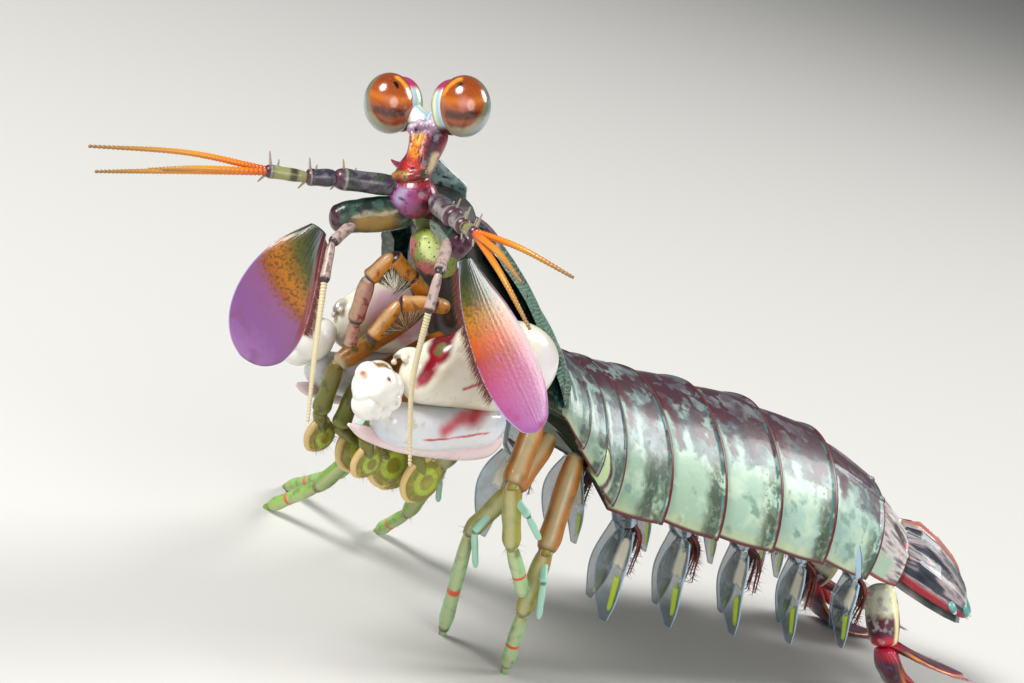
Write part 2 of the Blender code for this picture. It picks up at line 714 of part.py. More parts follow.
def make_claw(side_name):
    shape = CLAWS[side_name]
    outward = 1 if side_name == "left" else -1
    merus_path = smooth_path(shape["merus"], 9)
    merus = tube(merus_path, *MERUS_SECTIONS, sides=11)
    ischium = tube([merus_path[0] + (merus_path[1] - merus_path[0]) * 0.6, Vector(shape["ischium"])],
                   [1.3, 1.1], sides=9, hint=(0, 0, 1))
    piece = fuse(f"claw_merus_{side_name}", [merus, ischium])
    place(piece, "#E9E6DC", 0.2)
    carpus_centre = Vector(shape["carpus"])
    upright = ((0, 0, 1), (1, 0, 0), (0, 1, 0))
    knob = ellipsoid(carpus_centre, upright, CARPUS_RADII, rows=6, sides=10)
    lobe_centre = carpus_centre + Vector((0.2 * outward, -1.1, -1.1))
    lobe = ellipsoid(lobe_centre, upright, CARPUS_LOBE_RADII, rows=4, sides=7)
    piece = fuse(f"claw_carpus_{side_name}", [knob, lobe])
    place(piece, "#F2F0EA", 0.2)
    propodus = tube(smooth_path(shape["propodus"], 8), *PROPODUS_SECTIONS, sides=10)
    propodus.name = f"claw_propodus_{side_name}"
    place(propodus, "#EDE6E2", 0.2)
    dactyl = tube(smooth_path(shape["dactyl"], 9), *DACTYL_SECTIONS, sides=8)
    dactyl.name = f"claw_dactyl_{side_name}"
    place(dactyl, "#E3C9C6", 0.2)


# Maxillipeds

FIRST_MAXILLIPEDS = {
    "right": [(4.9, -14.8, 30.8), (4.6, -16.5, 32.0), (4.1, -18.5, 33.3), (3.5, -19.5, 31.2), (3.0, -19.1, 27.6),
              (2.7, -18.6, 25.6)],
    "left": [(6.0, -13.6, 30.4), (6.2, -15.2, 30.6), (5.0, -17.2, 30.0), (4.7, -18.7, 26.9)],
}
# Root, elbow and wrist of the third to fifth pair, then the centre of the round palm
MAXILLIPEDS = {
    ("3", "right"): [(2.0, -12.4, 28.4), (1.7, -18.4, 23.8), (1.2, -18.2, 19.6), (1.0, -17.2, 17.6)],
    ("3", "left"): [(7.0, -12.8, 28.2), (6.6, -17.2, 23.2), (6.4, -17.6, 19.6), (6.2, -16.6, 17.8)],
    ("4", "right"): [(2.6, -9.8, 26.8), (2.5, -16.6, 22.4), (2.5, -17.0, 19.0), (2.6, -14.6, 17.4)],
    ("4", "left"): [(6.2, -10.0, 27.2), (5.2, -15.3, 21.8), (4.8, -15.8, 19.2), (4.9, -13.2, 17.2)],
    ("5", "right"): [(2.4, -7.0, 25.2), (3.4, -12.0, 20.6), (3.9, -13.6, 19.2), (3.8, -11.4, 16.4)],
    ("5", "left"): [(6.2, -7.2, 25.6), (6.6, -11.6, 20.8), (6.8, -13.0, 19.4), (6.6, -11.0, 16.6)],
}
FIRST_MAXILLIPED_RADII = (0.65, 0.75, 0.75, 0.8, 0.6)
MAXILLIPED_RADII = (0.85, 0.75)
PALM_RADIUS = 1.8
PALM_HALF_THICKNESS = 0.62


def make_first_maxilliped(side_name):
    joints = FIRST_MAXILLIPEDS[side_name]
    segments = [chain(ends, [radius], sides=8, tip=0.8)
                for ends, radius in zip(zip(joints, joints[1:]), FIRST_MAXILLIPED_RADII)]
    piece = fuse(f"maxilliped_1_{side_name}", segments)
    return place(piece, "#B9762F", 0.35)


def make_maxilliped(number, side_name):
    root, elbow, wrist, palm = [Vector(point) for point in MAXILLIPEDS[(number, side_name)]]
    arm = chain([root, elbow, wrist], MAXILLIPED_RADII, sides=7)
    side = Vector((1, 0, 0))
    to_palm = (palm - wrist).normalized()
    radius = PALM_RADIUS if number != "3" else PALM_RADIUS * 0.7
    disc = ellipsoid(palm, (side, to_palm, side.cross(to_palm)), (PALM_HALF_THICKNESS, radius * 1.1, radius),
                     rows=4, sides=10)
    bridge = tube([wrist - to_palm * 0.3, palm], [0.6, 0.5], sides=6)
    hook = []
    for k in range(5):
        angle = math.radians(-35 + 50 * k)
        reach = radius + 0.1
        hook.append(palm - to_palm * reach * math.cos(angle) - side.cross(to_palm) * reach * math.sin(angle))
    dactyl = tube(hook, [0.4, 0.42, 0.36, 0.28, 0.12], sides=4)
    root_of_hook = tube([palm, hook[0]], [0.45, 0.4], sides=4)
    piece = fuse(f"maxilliped_{number}_{side_name}", [arm, bridge, disc, dactyl, root_of_hook])
    return place(piece, "#8E8B3A", 0.35)


# Walking legs

LEGS = {
    ("1", "left"): {
        "joints": [(7.4, -2.0, 22.2), (9.6, -4.6, 17.6), (10.0, -2.9, 12.6), (10.0, 0.2, 8.4)],
        "branch": [(9.7, -4.2, 16.8), (11.4, -3.6, 15.8), (12.0, -2.3, 14.2)],
        "stands": False,
    },
    ("2", "left"): {
        "joints": [(6.8, 0.6, 20.6), (8.2, -2.8, 16.8), (5.2, -3.0, 11.6), (0.6, 2.4, 0.0)],
        "branch": [(7.0, -3.0, 14.4), (6.6, -3.9, 12.3), (6.0, -1.9, 8.9)],
        "stands": True,
    },
    ("3", "left"): {
        "joints": [(7.6, 3.4, 19.4), (10.0, 1.0, 12.2), (8.9, 1.9, 6.2), (7.4, 3.7, 0.0)],
        "branch": [(9.9, 1.2, 11.6), (11.2, 0.6, 10.0), (11.0, 1.6, 6.8)],
        "stands": True,
    },
    ("1", "right"): {
        "joints": [(-4.6, -2.6, 21.8), (-11.0, -1.2, 15.0), (-18.0, 3.0, 6.2), (-28.6, 6.6, 0.0)],
        "branch": [(-10.6, -1.2, 15.0), (-12.0, -2.6, 12.8), (-13.2, -2.2, 10.4)],
        "stands": True,
    },
    ("2", "right"): {
        "joints": [(-4.6, 0.4, 20.2), (-11.6, 0.4, 13.0), (-17.6, 0.6, 5.0), (-24.1, 1.2, 0.0)],
        "branch": [(-11.2, 0.4, 12.8), (-12.6, 1.6, 10.6), (-13.2, 2.6, 8.2)],
        "stands": True,
    },
    ("3", "right"): {
        "joints": [(-4.6, 3.6, 18.8), (-9.4, 6.2, 11.2), (-14.2, 8.6, 4.2), (-19.3, 10.5, 0.0)],
        "branch": [(-9.2, 6.2, 11.2), (-10.6, 7.6, 9.2), (-11.2, 8.8, 6.8)],
        "stands": True,
    },
}


LEG_RADII = (1.05, 0.85, 0.62)
BRANCH_RADII = (0.38, 0.34)


def foot(point, above):
    """A short blunt toe that ends in a small flat on the floor."""
    low = Vector((point[0], point[1], FLOOR))
    direction = (Vector(above) - low).normalized()
    flat_ring = [low + Vector((FOOT_FLAT * math.cos(a), FOOT_FLAT * math.sin(a), 0.0))
                 for a in (2 * math.pi * k / 8 for k in range(8))]
    upper = [corner + direction * 1.6 / max(direction.z, 0.3) for corner in flat_ring]
    return loft([flat_ring, upper])


def make_leg(number, side_name):
    shape = LEGS[(number, side_name)]
    joints = [Vector(joint) for joint in shape["joints"]]
    pieces = []
    if shape["stands"]:
        toe = joints[-1].copy()
        joints[-1] = toe + (joints[-2] - toe).normalized() * 0.9
        pieces.append(foot(toe, joints[-2]))
    pieces.append(chain(joints, LEG_RADII, sides=8, tip=0.75))
    pieces.append(chain(shape["branch"], BRANCH_RADII, sides=6, tip=0.5))
    piece = fuse(f"walking_leg_{number}_{side_name}", pieces)
    return place(piece, "#A9A94A", 0.35)


# Pleopods with their gills

GILL_COUNT = 4
# How far each pair hangs below the belly
PLEOPOD_DROPS = [11.4, 11.2, 10.8, 10.2, 8.6]


def make_pleopod(number, side_name):
    """A flap of two leaves under the belly, with gill filaments behind the outer leaf."""
    front, rear = ((FRONT[1], FRONT[0]) if number == 1 else (REAR[number - 2], REAR[number - 1]))
    middle = blend(front, rear, 0.5)
    side = 1 if side_name == "left" else -1
    sizes = ABDOMEN_SIZES[number - 1]
    belly = (sizes[1][0] + sizes[1][1]) / 2 + sizes[3]
    across = sizes[0][0] * 0.68
    drop = PLEOPOD_DROPS[number - 1]
    root = middle.at(side * across, belly + 0.3, 0.4)
    hip = middle.at(side * (across + 0.6), belly - drop * 0.32, 2.6)
    knee = middle.at(side * (across + 1.3), belly - drop * 0.64, 2.9)
    tip = middle.at(side * (across + 1.4), belly - drop, 5.0)
    inner_knee = middle.at(side * (across - 0.8), belly - drop * 0.66, 4.0)
    inner_tip = middle.at(side * (across - 1.2), belly - drop * 0.92, 5.2)
    protopod = tube([root, root.lerp(hip, 0.5), hip], [1.3, 1.5, 1.3], [0.9, 0.9, 0.7], sides=7, hint=middle.left)
    outer = tube(smooth_path([hip + middle.left * side * 0.5, knee, tip], 5), [0.8, 1.5, 1.75, 1.4, 0.4],
                 [0.5, 0.42, 0.36, 0.3, 0.25], sides=6, hint=middle.left)
    inner = tube([hip - middle.left * side * 0.6, inner_knee, inner_tip], [0.8, 1.3, 0.4],
                 [0.45, 0.38, 0.25], sides=6, hint=middle.left)
    pieces = [protopod, outer, inner]
    for k in range(GILL_COUNT):
        share = k / (GILL_COUNT - 1)
        start = root.lerp(hip, 0.75) + middle.left * side * (share - 0.5) * 1.8
        bend = start + middle.back * (2.5 + 0.3 * math.sin(2.1 * k + number)) - middle.up * (0.8 + 0.6 * share)
        end = bend + middle.back * 0.6 - middle.up * (3.0 + 0.6 * math.cos(1.7 * k + number)) + \
            middle.left * side * (share - 0.5) * 0.8
        pieces.append(tube([start, bend, end], [0.3, 0.3, 0.15], sides=4, hint=middle.left))
    piece = fuse(f"pleopod_{number}_{side_name}", pieces)
    return place(piece, "#6F8DA0", 0.3)


# Tail fan

TELSON_BASE = Vector((8.1, 45.6, 10.7))
TELSON_END = Vector((12.2, 53.9, 7.7))


def telson_frame():
    along = TELSON_END - TELSON_BASE
    yaw = math.degrees(math.atan2(along.x, along.y))
    pitch = math.degrees(math.asin(-along.z / along.length))
    return Station(TELSON_BASE, pitch, yaw, 0.0), along.length


def make_telson():
    frame, length = telson_frame()
    across = 12
    rings = []
    for share, half_width, height in ((0.0, 4.6, 4.1), (0.15, 5.5, 4.4), (0.4, 5.9, 4.1), (0.65, 5.5, 3.4),
                                      (0.85, 4.5, 2.5), (0.97, 3.2, 1.7)):
        upper = []
        for k in range(across + 1):
            u = 1 - 2 * k / across
            ridge = 0.45 if k in (3, 6, 9) and 0.0 < share < 0.9 else 0.0
            upper.append(frame.at(u * half_width, height * (1 - abs(u) ** 2.2) + ridge, share * length))
        lower = [frame.at(u * half_width * 0.9, height * (1 - abs(u) ** 2.2) * 0.72 - 0.75, share * length)
                 for u in (-1.0, -0.5, 0.0, 0.5, 1.0)]
        rings.append(upper + lower)
    plate = loft(rings)
    pieces = [plate]
    for out, back, reach in ((1.5, 0.9, 2.2), (3.6, 0.82, 1.5), (5.2, 0.6, 1.2)):
        for side in (-1, 1):
            root = frame.at(side * (out - 0.4), 0.6 + 0.2 * (5.2 - out), length * back)
            tip = frame.at(side * out, 0.1, length * back + reach)
            pieces.append(spine(root, tip, 0.6))
    piece = fuse("telson", pieces)
    return place(piece, "#6F8C84", 0.35)


UROPODS = {
    "left": {
        "protopod": [(12.0, 41.9, 10.0), (13.4, 42.2, 7.2), (14.6, 42.4, 4.9)],
        "spine": [(14.2, 42.6, 5.6), (15.2, 45.0, 2.6), (15.6, 47.2, 1.6)],
        "exopod": [(14.6, 42.2, 4.9), (15.6, 43.6, 2.4), (16.2, 46.2, 0.7), (16.4, 51.2, 0.25)],
        "endopod": [(14.4, 42.6, 5.4), (16.2, 45.4, 4.6), (18.6, 49.4, 3.9)],
    },
    "right": {
        "protopod": [(3.2, 45.6, 9.8), (1.6, 46.6, 7.0), (0.6, 47.4, 4.9)],
        "spine": [(1.2, 47.4, 5.6), (1.4, 49.8, 3.2), (2.2, 51.8, 2.2)],
        "exopod": [(0.8, 47.2, 4.9), (0.4, 49.0, 2.6), (1.4, 51.4, 0.7), (3.4, 55.6, 0.25)],
        "endopod": [(1.2, 47.4, 5.2), (3.0, 50.8, 4.0), (6.4, 55.2, 2.6)],
    },
}


def make_uropod(side_name):
    shape = UROPODS[side_name]
    protopod = tube(smooth_path(shape["protopod"], 4), [1.6, 1.9, 1.8, 1.3], [1.0, 1.1, 1.0, 0.8], sides=10)
    prong = tube(smooth_path(shape["spine"], 5), [0.7, 0.6, 0.45, 0.12], sides=6)
    exopod = set_down(tube(smooth_path(shape["exopod"], 8), [1.1, 1.6, 1.8, 1.9, 2.0, 2.0, 1.6, 0.6],
                           [0.7, 0.6, 0.55, 0.5, 0.45, 0.4, 0.35, 0.3], sides=8))
    endopod = tube(smooth_path(shape["endopod"], 6), [0.9, 1.6, 2.1, 1.9, 0.6], [0.6, 0.5, 0.4, 0.35, 0.25], sides=8)
    piece = fuse(f"uropod_{side_name}", [protopod, prong, exopod, endopod])
    return place(piece, "#5A2F4E", 0.3)


def set_down(piece):
    """Presses what would dip under the floor to a small flat on it."""
    for vert in piece.data.vertices:
        vert.co.z = max(vert.co.z, FLOOR)
    return piece


def centre_over_origin():
    low = np.min([box_of(obj)[0] for obj in placed], axis=0)
    high = np.max([box_of(obj)[1] for obj in placed], axis=0)
    shift = Vector((-(low[0] + high[0]) / 2, -(low[1] + high[1]) / 2, -low[2]))
    for obj in placed:
        obj.data.transform(Matrix.Translation(shift))


def main():
    clear_scene()
    make_somites()
    make_thorax()
    make_carapace()
    make_rostral_plate()
    make_head()
    for side_name in ("right", "left"):
        make_eye(side_name)
    for side_name in ("right", "left"):
        make_antennule(side_name)
        make_antenna(side_name)
        make_scale(side_name)
        make_claw(side_name)
        make_first_maxilliped(side_name)
    for number in "345":
        for side_name in ("left", "right"):
            make_maxilliped(number, side_name)
    for number in "123":
        for side_name in ("left", "right"):
            make_leg(number, side_name)
    for number in range(1, 6):
        for side_name in ("left", "right"):
            make_pleopod(number, side_name)
    make_telson()
    for side_name in ("left", "right"):
        make_uropod(side_name)
    centre_over_origin()


main()
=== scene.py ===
# %% [markdown]
# # A mantis shrimp in life size
# The animal stands on its walking legs, the front of its body raised and its two striking claws folded.
# The solids of the part are already right in size, so each cell here takes one of them and makes the
# finer form and the colours that the eye looks for: rims, ridges, hairs, joints and painted shell.
# The script starts by loading those solids, which stay where they are.

# %% Load the solids
import math

import bpy
import numpy as np
from mathutils import Matrix, Vector, noise


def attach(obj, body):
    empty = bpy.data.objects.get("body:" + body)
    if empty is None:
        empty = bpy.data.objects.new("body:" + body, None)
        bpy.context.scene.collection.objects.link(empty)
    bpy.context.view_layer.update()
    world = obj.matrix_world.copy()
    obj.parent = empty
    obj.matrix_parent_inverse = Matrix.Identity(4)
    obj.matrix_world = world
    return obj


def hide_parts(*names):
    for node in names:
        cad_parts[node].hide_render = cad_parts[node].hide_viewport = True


MM = 0.001
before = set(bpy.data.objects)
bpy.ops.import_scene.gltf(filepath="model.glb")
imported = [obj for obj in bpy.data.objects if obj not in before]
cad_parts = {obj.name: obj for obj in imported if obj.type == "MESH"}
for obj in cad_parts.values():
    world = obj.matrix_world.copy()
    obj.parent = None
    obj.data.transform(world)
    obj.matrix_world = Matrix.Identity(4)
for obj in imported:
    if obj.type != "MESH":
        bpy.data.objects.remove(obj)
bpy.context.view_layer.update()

# %% [markdown]
# ## Where a point is
# Shapes below are given in millimetres, with the floor at height 0, the head towards -Y and the animal's
# left towards +X. One walking foot tells how far the solids were moved when they were centred, so the same
# numbers always land on the same place of the animal.

# %% From the drawing to the scene
FOOT = (0.6, 2.4, 0.0)
foot_points = np.array([vert.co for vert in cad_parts["walking_leg_2_left"].data.vertices]) / MM
SHIFT = foot_points[foot_points[:, 2] < 0.02].mean(axis=0) - FOOT


def metres(points):
    return (np.asarray(points, float) + SHIFT) * MM


print("the drawing is moved by", np.round(SHIFT, 2), "mm")

# %% [markdown]
# ## Curves through a few points
# A limb or a feeler follows a smooth curve through its joints. The curve used here passes through every
# given point, which is why its shape can be read straight from a few named places. The same function
# smooths a list of widths.


# %% A smooth curve
def curve(points, share):
    """The places at shares from 0 to 1 along a smooth curve through the given points."""
    points = np.asarray(points, float)
    share = np.asarray(share, float)
    ends = np.vstack([2 * points[:1] - points[1:2], points, 2 * points[-1:] - points[-2:-1]])
    at = np.clip(share, 0.0, 1.0) * (len(points) - 1)
    low = np.minimum(at.astype(int), len(points) - 2)
    part = (at - low)[:, None]
    a, b, c, d = (ends[low + k] for k in range(4))
    return 0.5 * (2 * b + (c - a) * part + (2 * a - 5 * b + 4 * c - d) * part ** 2
                  + (3 * b - a - 3 * c + d) * part ** 3)


def level(values, share):
    """A smooth width or height at each share along an evenly spaced list."""
    return curve(np.asarray(values, float)[:, None], share)[:, 0]


def unit(vectors):
    return vectors / np.linalg.norm(vectors, axis=-1, keepdims=True)


def rough(points, size, seed=0.0):
    """A smooth random height between about -1 and 1 whose lumps are `size` millimetres across."""
    return np.array([noise.noise(Vector(point) / size + Vector((seed, -seed, seed))) for point in points])


print("halfway along a test curve:", curve([(0, 0, 0), (1, 0, 0), (2, 1, 0)], [0.5])[0])

# %% [markdown]
# ## Skin on a form
# Almost every piece is a tube, an arch or a blade. By hand one would extrude a ring again and again; here
# a flat grid is added once and rolled up, so that each of its points keeps two numbers, how far round and
# how far along it lies. They stay in the piece's own map, named Lie, for the colours to follow. Doubles at
# the seam and the poles are then merged and the normals turned outwards.


# %% Roll a grid into a skin
def one_selected(piece):
    bpy.ops.object.select_all(action="DESELECT")
    piece.select_set(True)
    bpy.context.view_layer.objects.active = piece


def skin(name, rows, sides, shape, keen=None):
    """A closed piece: shape(around, along) gives places in mm and the two numbers kept in the Lie map."""
    bpy.ops.object.select_all(action="DESELECT")
    bpy.ops.mesh.primitive_grid_add(x_subdivisions=sides, y_subdivisions=rows, size=1.0)
    piece = bpy.context.object
    piece.name = name
    mesh = piece.data
    flat = np.empty(len(mesh.vertices) * 3)
    mesh.vertices.foreach_get("co", flat)
    flat = flat.reshape(-1, 3) + 0.5
    points, lie = shape(flat[:, 0], flat[:, 1])
    mesh.vertices.foreach_set("co", metres(points).ravel())
    corners = np.empty(len(mesh.loops), int)
    mesh.loops.foreach_get("vertex_index", corners)
    mesh.uv_layers[0].name = "Lie"
    mesh.uv_layers[0].data.foreach_set("uv", np.asarray(lie)[corners].ravel())
    bpy.ops.object.mode_set(mode="EDIT")
    bpy.ops.mesh.select_all(action="SELECT")
    bpy.ops.mesh.remove_doubles(threshold=2e-7)
    bpy.ops.mesh.normals_make_consistent(inside=False)
    bpy.ops.object.mode_set(mode="OBJECT")
    bpy.ops.object.shade_smooth()
    if keen:
        bpy.ops.object.shade_smooth_by_angle(angle=math.radians(keen))
    return piece


def frames(path, share, hint):
    """Places along a path with the directions along it, to its side and up from it."""
    step = 0.004
    centre = curve(path, share)
    ahead = unit(curve(path, np.minimum(share + step, 1.0)) - curve(path, np.maximum(share - step, 0.0)))
    hint = np.broadcast_to(np.asarray(hint, float), ahead.shape)
    side = unit(hint - ahead * np.sum(hint * ahead, axis=1, keepdims=True))
    return centre, ahead, side, np.cross(ahead, side)


def tube(name, path, widths, heights=None, hint=(1, 0, 0), sides=24, rows=36, power=2.0, relief=None,
         number=0.0, blunt=(0.7, 0.7)):
    """A limb piece with rounded ends. Widths are half widths towards the hint, heights across it."""
    heights = widths if heights is None else heights
    path = np.asarray(path, float)
    length = np.linalg.norm(np.diff(curve(path, np.linspace(0, 1, 40)), axis=0), axis=1).sum()
    caps = [min(0.45, blunt[end] * min(widths[-end], heights[-end]) / length) for end in (0, 1)]

    def shape(around, along):
        share = along - 0.9 * np.sin(2 * np.pi * along) / (2 * np.pi)
        centre, ahead, side, up = frames(path, share, hint)
        near = np.clip(1 - share / max(caps[0], 1e-4), 0, 1)
        far = np.clip(1 - (1 - share) / max(caps[1], 1e-4), 0, 1)
        round_off = np.sqrt(np.clip(1 - near ** 2, 0, 1)) * np.sqrt(np.clip(1 - far ** 2, 0, 1))
        angle = 2 * np.pi * around
        c, s = np.cos(angle), np.sin(angle)
        c, s = (np.sign(x) * np.abs(x) ** (2 / power) for x in (c, s))
        out = side * (level(widths, share) * round_off * c)[:, None] \
            + up * (level(heights, share) * round_off * s)[:, None]
        points = centre + out
        if relief:
            away = out / np.maximum(np.linalg.norm(out, axis=1, keepdims=True), 1e-6)
            points = points + away * (relief(around, share, points) * round_off)[:, None]
        return points, np.column_stack([around, share + number])

    return skin(name, rows, sides, shape)


def joined(name, pieces):
    bpy.ops.object.select_all(action="DESELECT")
    for piece in pieces:
        piece.select_set(True)
    bpy.context.view_layer.objects.active = pieces[0]
    if len(pieces) > 1:
        bpy.ops.object.join()
    pieces[0].name = name
    return pieces[0]


def melted(piece, voxel, rounds):
    """Overlapping forms become one skin, as when wax runs together."""
    one_selected(piece)
    remesh = piece.modifiers.new("melt", "REMESH")
    remesh.mode = "VOXEL"
    remesh.voxel_size = voxel * MM
    remesh.use_smooth_shade = True
    bpy.ops.object.modifier_apply(modifier=remesh.name)
    smooth = piece.modifiers.new("soften", "SMOOTH")
    smooth.iterations = rounds
    bpy.ops.object.modifier_apply(modifier=smooth.name)
    return piece


def ball(name, centre, axes, radii, sides=28, rows=18, number=0.0):
    """A stretched ball; the first axis joins its poles."""
    pole, side, up = (unit(np.asarray(axis, float)) for axis in axes)

    def shape(around, along):
        polar, angle = np.pi * along, 2 * np.pi * around
        out = np.outer(np.cos(angle), side) * radii[1] + np.outer(np.sin(angle), up) * radii[2]
        points = np.asarray(centre) - np.outer(np.cos(polar), pole) * radii[0] + out * np.sin(polar)[:, None]
        return points, np.column_stack([around, along + number])

    return skin(name, rows, sides, shape)


print("helpers for skins are ready")

# %% [markdown]
# ## A hair, and many of them
# Shrimps carry fringes and tufts of stiff hairs, called setae. One is modelled as a thin four-sided cone
# with two cuts along it, so that its sides can curve in to the tip. It is copied by moving its points,
# which is far lighter than a particle system and leaves a plain mesh.

# %% Model one hair
bpy.ops.object.select_all(action="DESELECT")
bpy.ops.mesh.primitive_cone_add(vertices=4, radius1=1.0, radius2=0.12, depth=1.0, location=(0, 0, 0.5))
hair = bpy.context.object
bpy.ops.object.transform_apply(location=True, rotation=True, scale=True)
bpy.ops.object.mode_set(mode="EDIT")
for height in (0.35, 0.7):
    bpy.ops.mesh.select_all(action="SELECT")
    bpy.ops.mesh.bisect(plane_co=(0, 0, height), plane_no=(0, 0, 1))
bpy.ops.object.mode_set(mode="OBJECT")
HAIR_POINTS = np.array([vert.co for vert in hair.data.vertices])
HAIR_FACES = [list(face.vertices) for face in hair.data.polygons]
# How far every hair stays above the floor, in mm
HAIR_CLEARANCE = 0.02
bpy.data.objects.remove(hair, do_unlink=True)
print("one hair has", len(HAIR_FACES), "faces")


def hairs(name, roots, tips, radius=0.04, seed=1):
    """Many copies of the hair, each a little askew, from roots to tips, in mm."""
    dice = np.random.default_rng(seed)
    roots, tips = np.asarray(roots, float), np.asarray(tips, float)
    tips = tips + dice.normal(0, 0.08, tips.shape) * np.linalg.norm(tips - roots, axis=1, keepdims=True)
    ahead = unit(tips - roots)
    side = unit(np.cross(ahead, ahead[:, [1, 2, 0]] + 0.1))
    up = np.cross(ahead, side)
    x, y, z = HAIR_POINTS.T
    thick = radius * (1 - 0.55 * z)
    points = roots[:, None] + (tips - roots)[:, None] * z[None, :, None] \
        + side[:, None] * (x * thick)[None, :, None] + up[:, None] * (y * thick)[None, :, None]
    points[..., 2] = np.maximum(points[..., 2], HAIR_CLEARANCE)
    faces = [[corner + len(HAIR_POINTS) * k for corner in face]
             for k in range(len(roots)) for face in HAIR_FACES]
    mesh = bpy.data.meshes.new(name)
    mesh.from_pydata(metres(points.reshape(-1, 3)).tolist(), [], faces)
    piece = bpy.data.objects.new(name, mesh)
    bpy.context.scene.collection.objects.link(piece)
    mesh.uv_layers.new(name="Lie")
    mesh.shade_smooth()
    return piece


# %% [markdown]
# ## Mixing a finish
# A finish is a Principled shader with a painted colour. The shell of a mantis shrimp is hard chitin with
# lime in it, under a thin waxy skin: slightly glossy, with colours that lie in the shell, so the paint is
# matt below and a thin clear coat shines on top. Masks are drawn either from a place in space, so that a
# spot sits where it is on the animal, or from the Lie map, so that a band follows the piece.


# %% Add nodes and lay paint
def linear(hex_colour):
    channels = [int(hex_colour[i:i + 2], 16) / 255 for i in (1, 3, 5)]
    return [c / 12.92 if c <= 0.04045 else ((c + 0.055) / 1.055) ** 2.4 for c in channels] + [1.0]


def add(tree, kind, settings=None, links=None):
    """Adds one shader node, sets its options and inputs, and links what feeds it."""
    node = tree.nodes.new("ShaderNode" + kind)
    for key, value in (settings or {}).items():
        if key == "stops":
            ramp = node.color_ramp
            while len(ramp.elements) < len(value):
                ramp.elements.new(0.5)
            for element, (at, hex_colour) in zip(ramp.elements, value):
                element.position = at
                element.color = linear(hex_colour)
        elif isinstance(key, str) and hasattr(node, key):
            setattr(node, key, value)
        else:
            node.inputs[key].default_value = linear(value) if isinstance(value, str) else value
    for key, source in (links or {}).items():
        tree.links.new(source, node.inputs[key])
    return node


def painted(tree, base, layers):
    """Lays colours over a base, each where its mask is 1."""
    colour = base
    for mask, top in layers:
        settings, links = {"data_type": "RGBA"}, {0: mask}
        for socket, value in ((6, colour), (7, top)):
            (settings if isinstance(value, str) else links)[socket] = value
        colour = add(tree, "Mix", settings, links).outputs[2]
    return colour


def band(tree, value, low, high, soft=0.03, within=None, strength=1.0):
    """A mask that is 1 where the value lies between two limits."""
    rise = add(tree, "MapRange", {"interpolation_type": "SMOOTHSTEP", 1: low - soft, 2: low + soft,
                                            4: strength}, {0: value}).outputs[0]
    fall = add(tree, "MapRange", {"interpolation_type": "SMOOTHSTEP", 1: high - soft, 2: high + soft,
                                            3: 1.0, 4: 0.0}, {0: value}).outputs[0]
    mask = add(tree, "Math", {"operation": "MULTIPLY"}, {0: rise, 1: fall}).outputs[0]
    if within:
        mask = add(tree, "Math", {"operation": "MULTIPLY"}, {0: mask, 1: within}).outputs[0]
    return mask


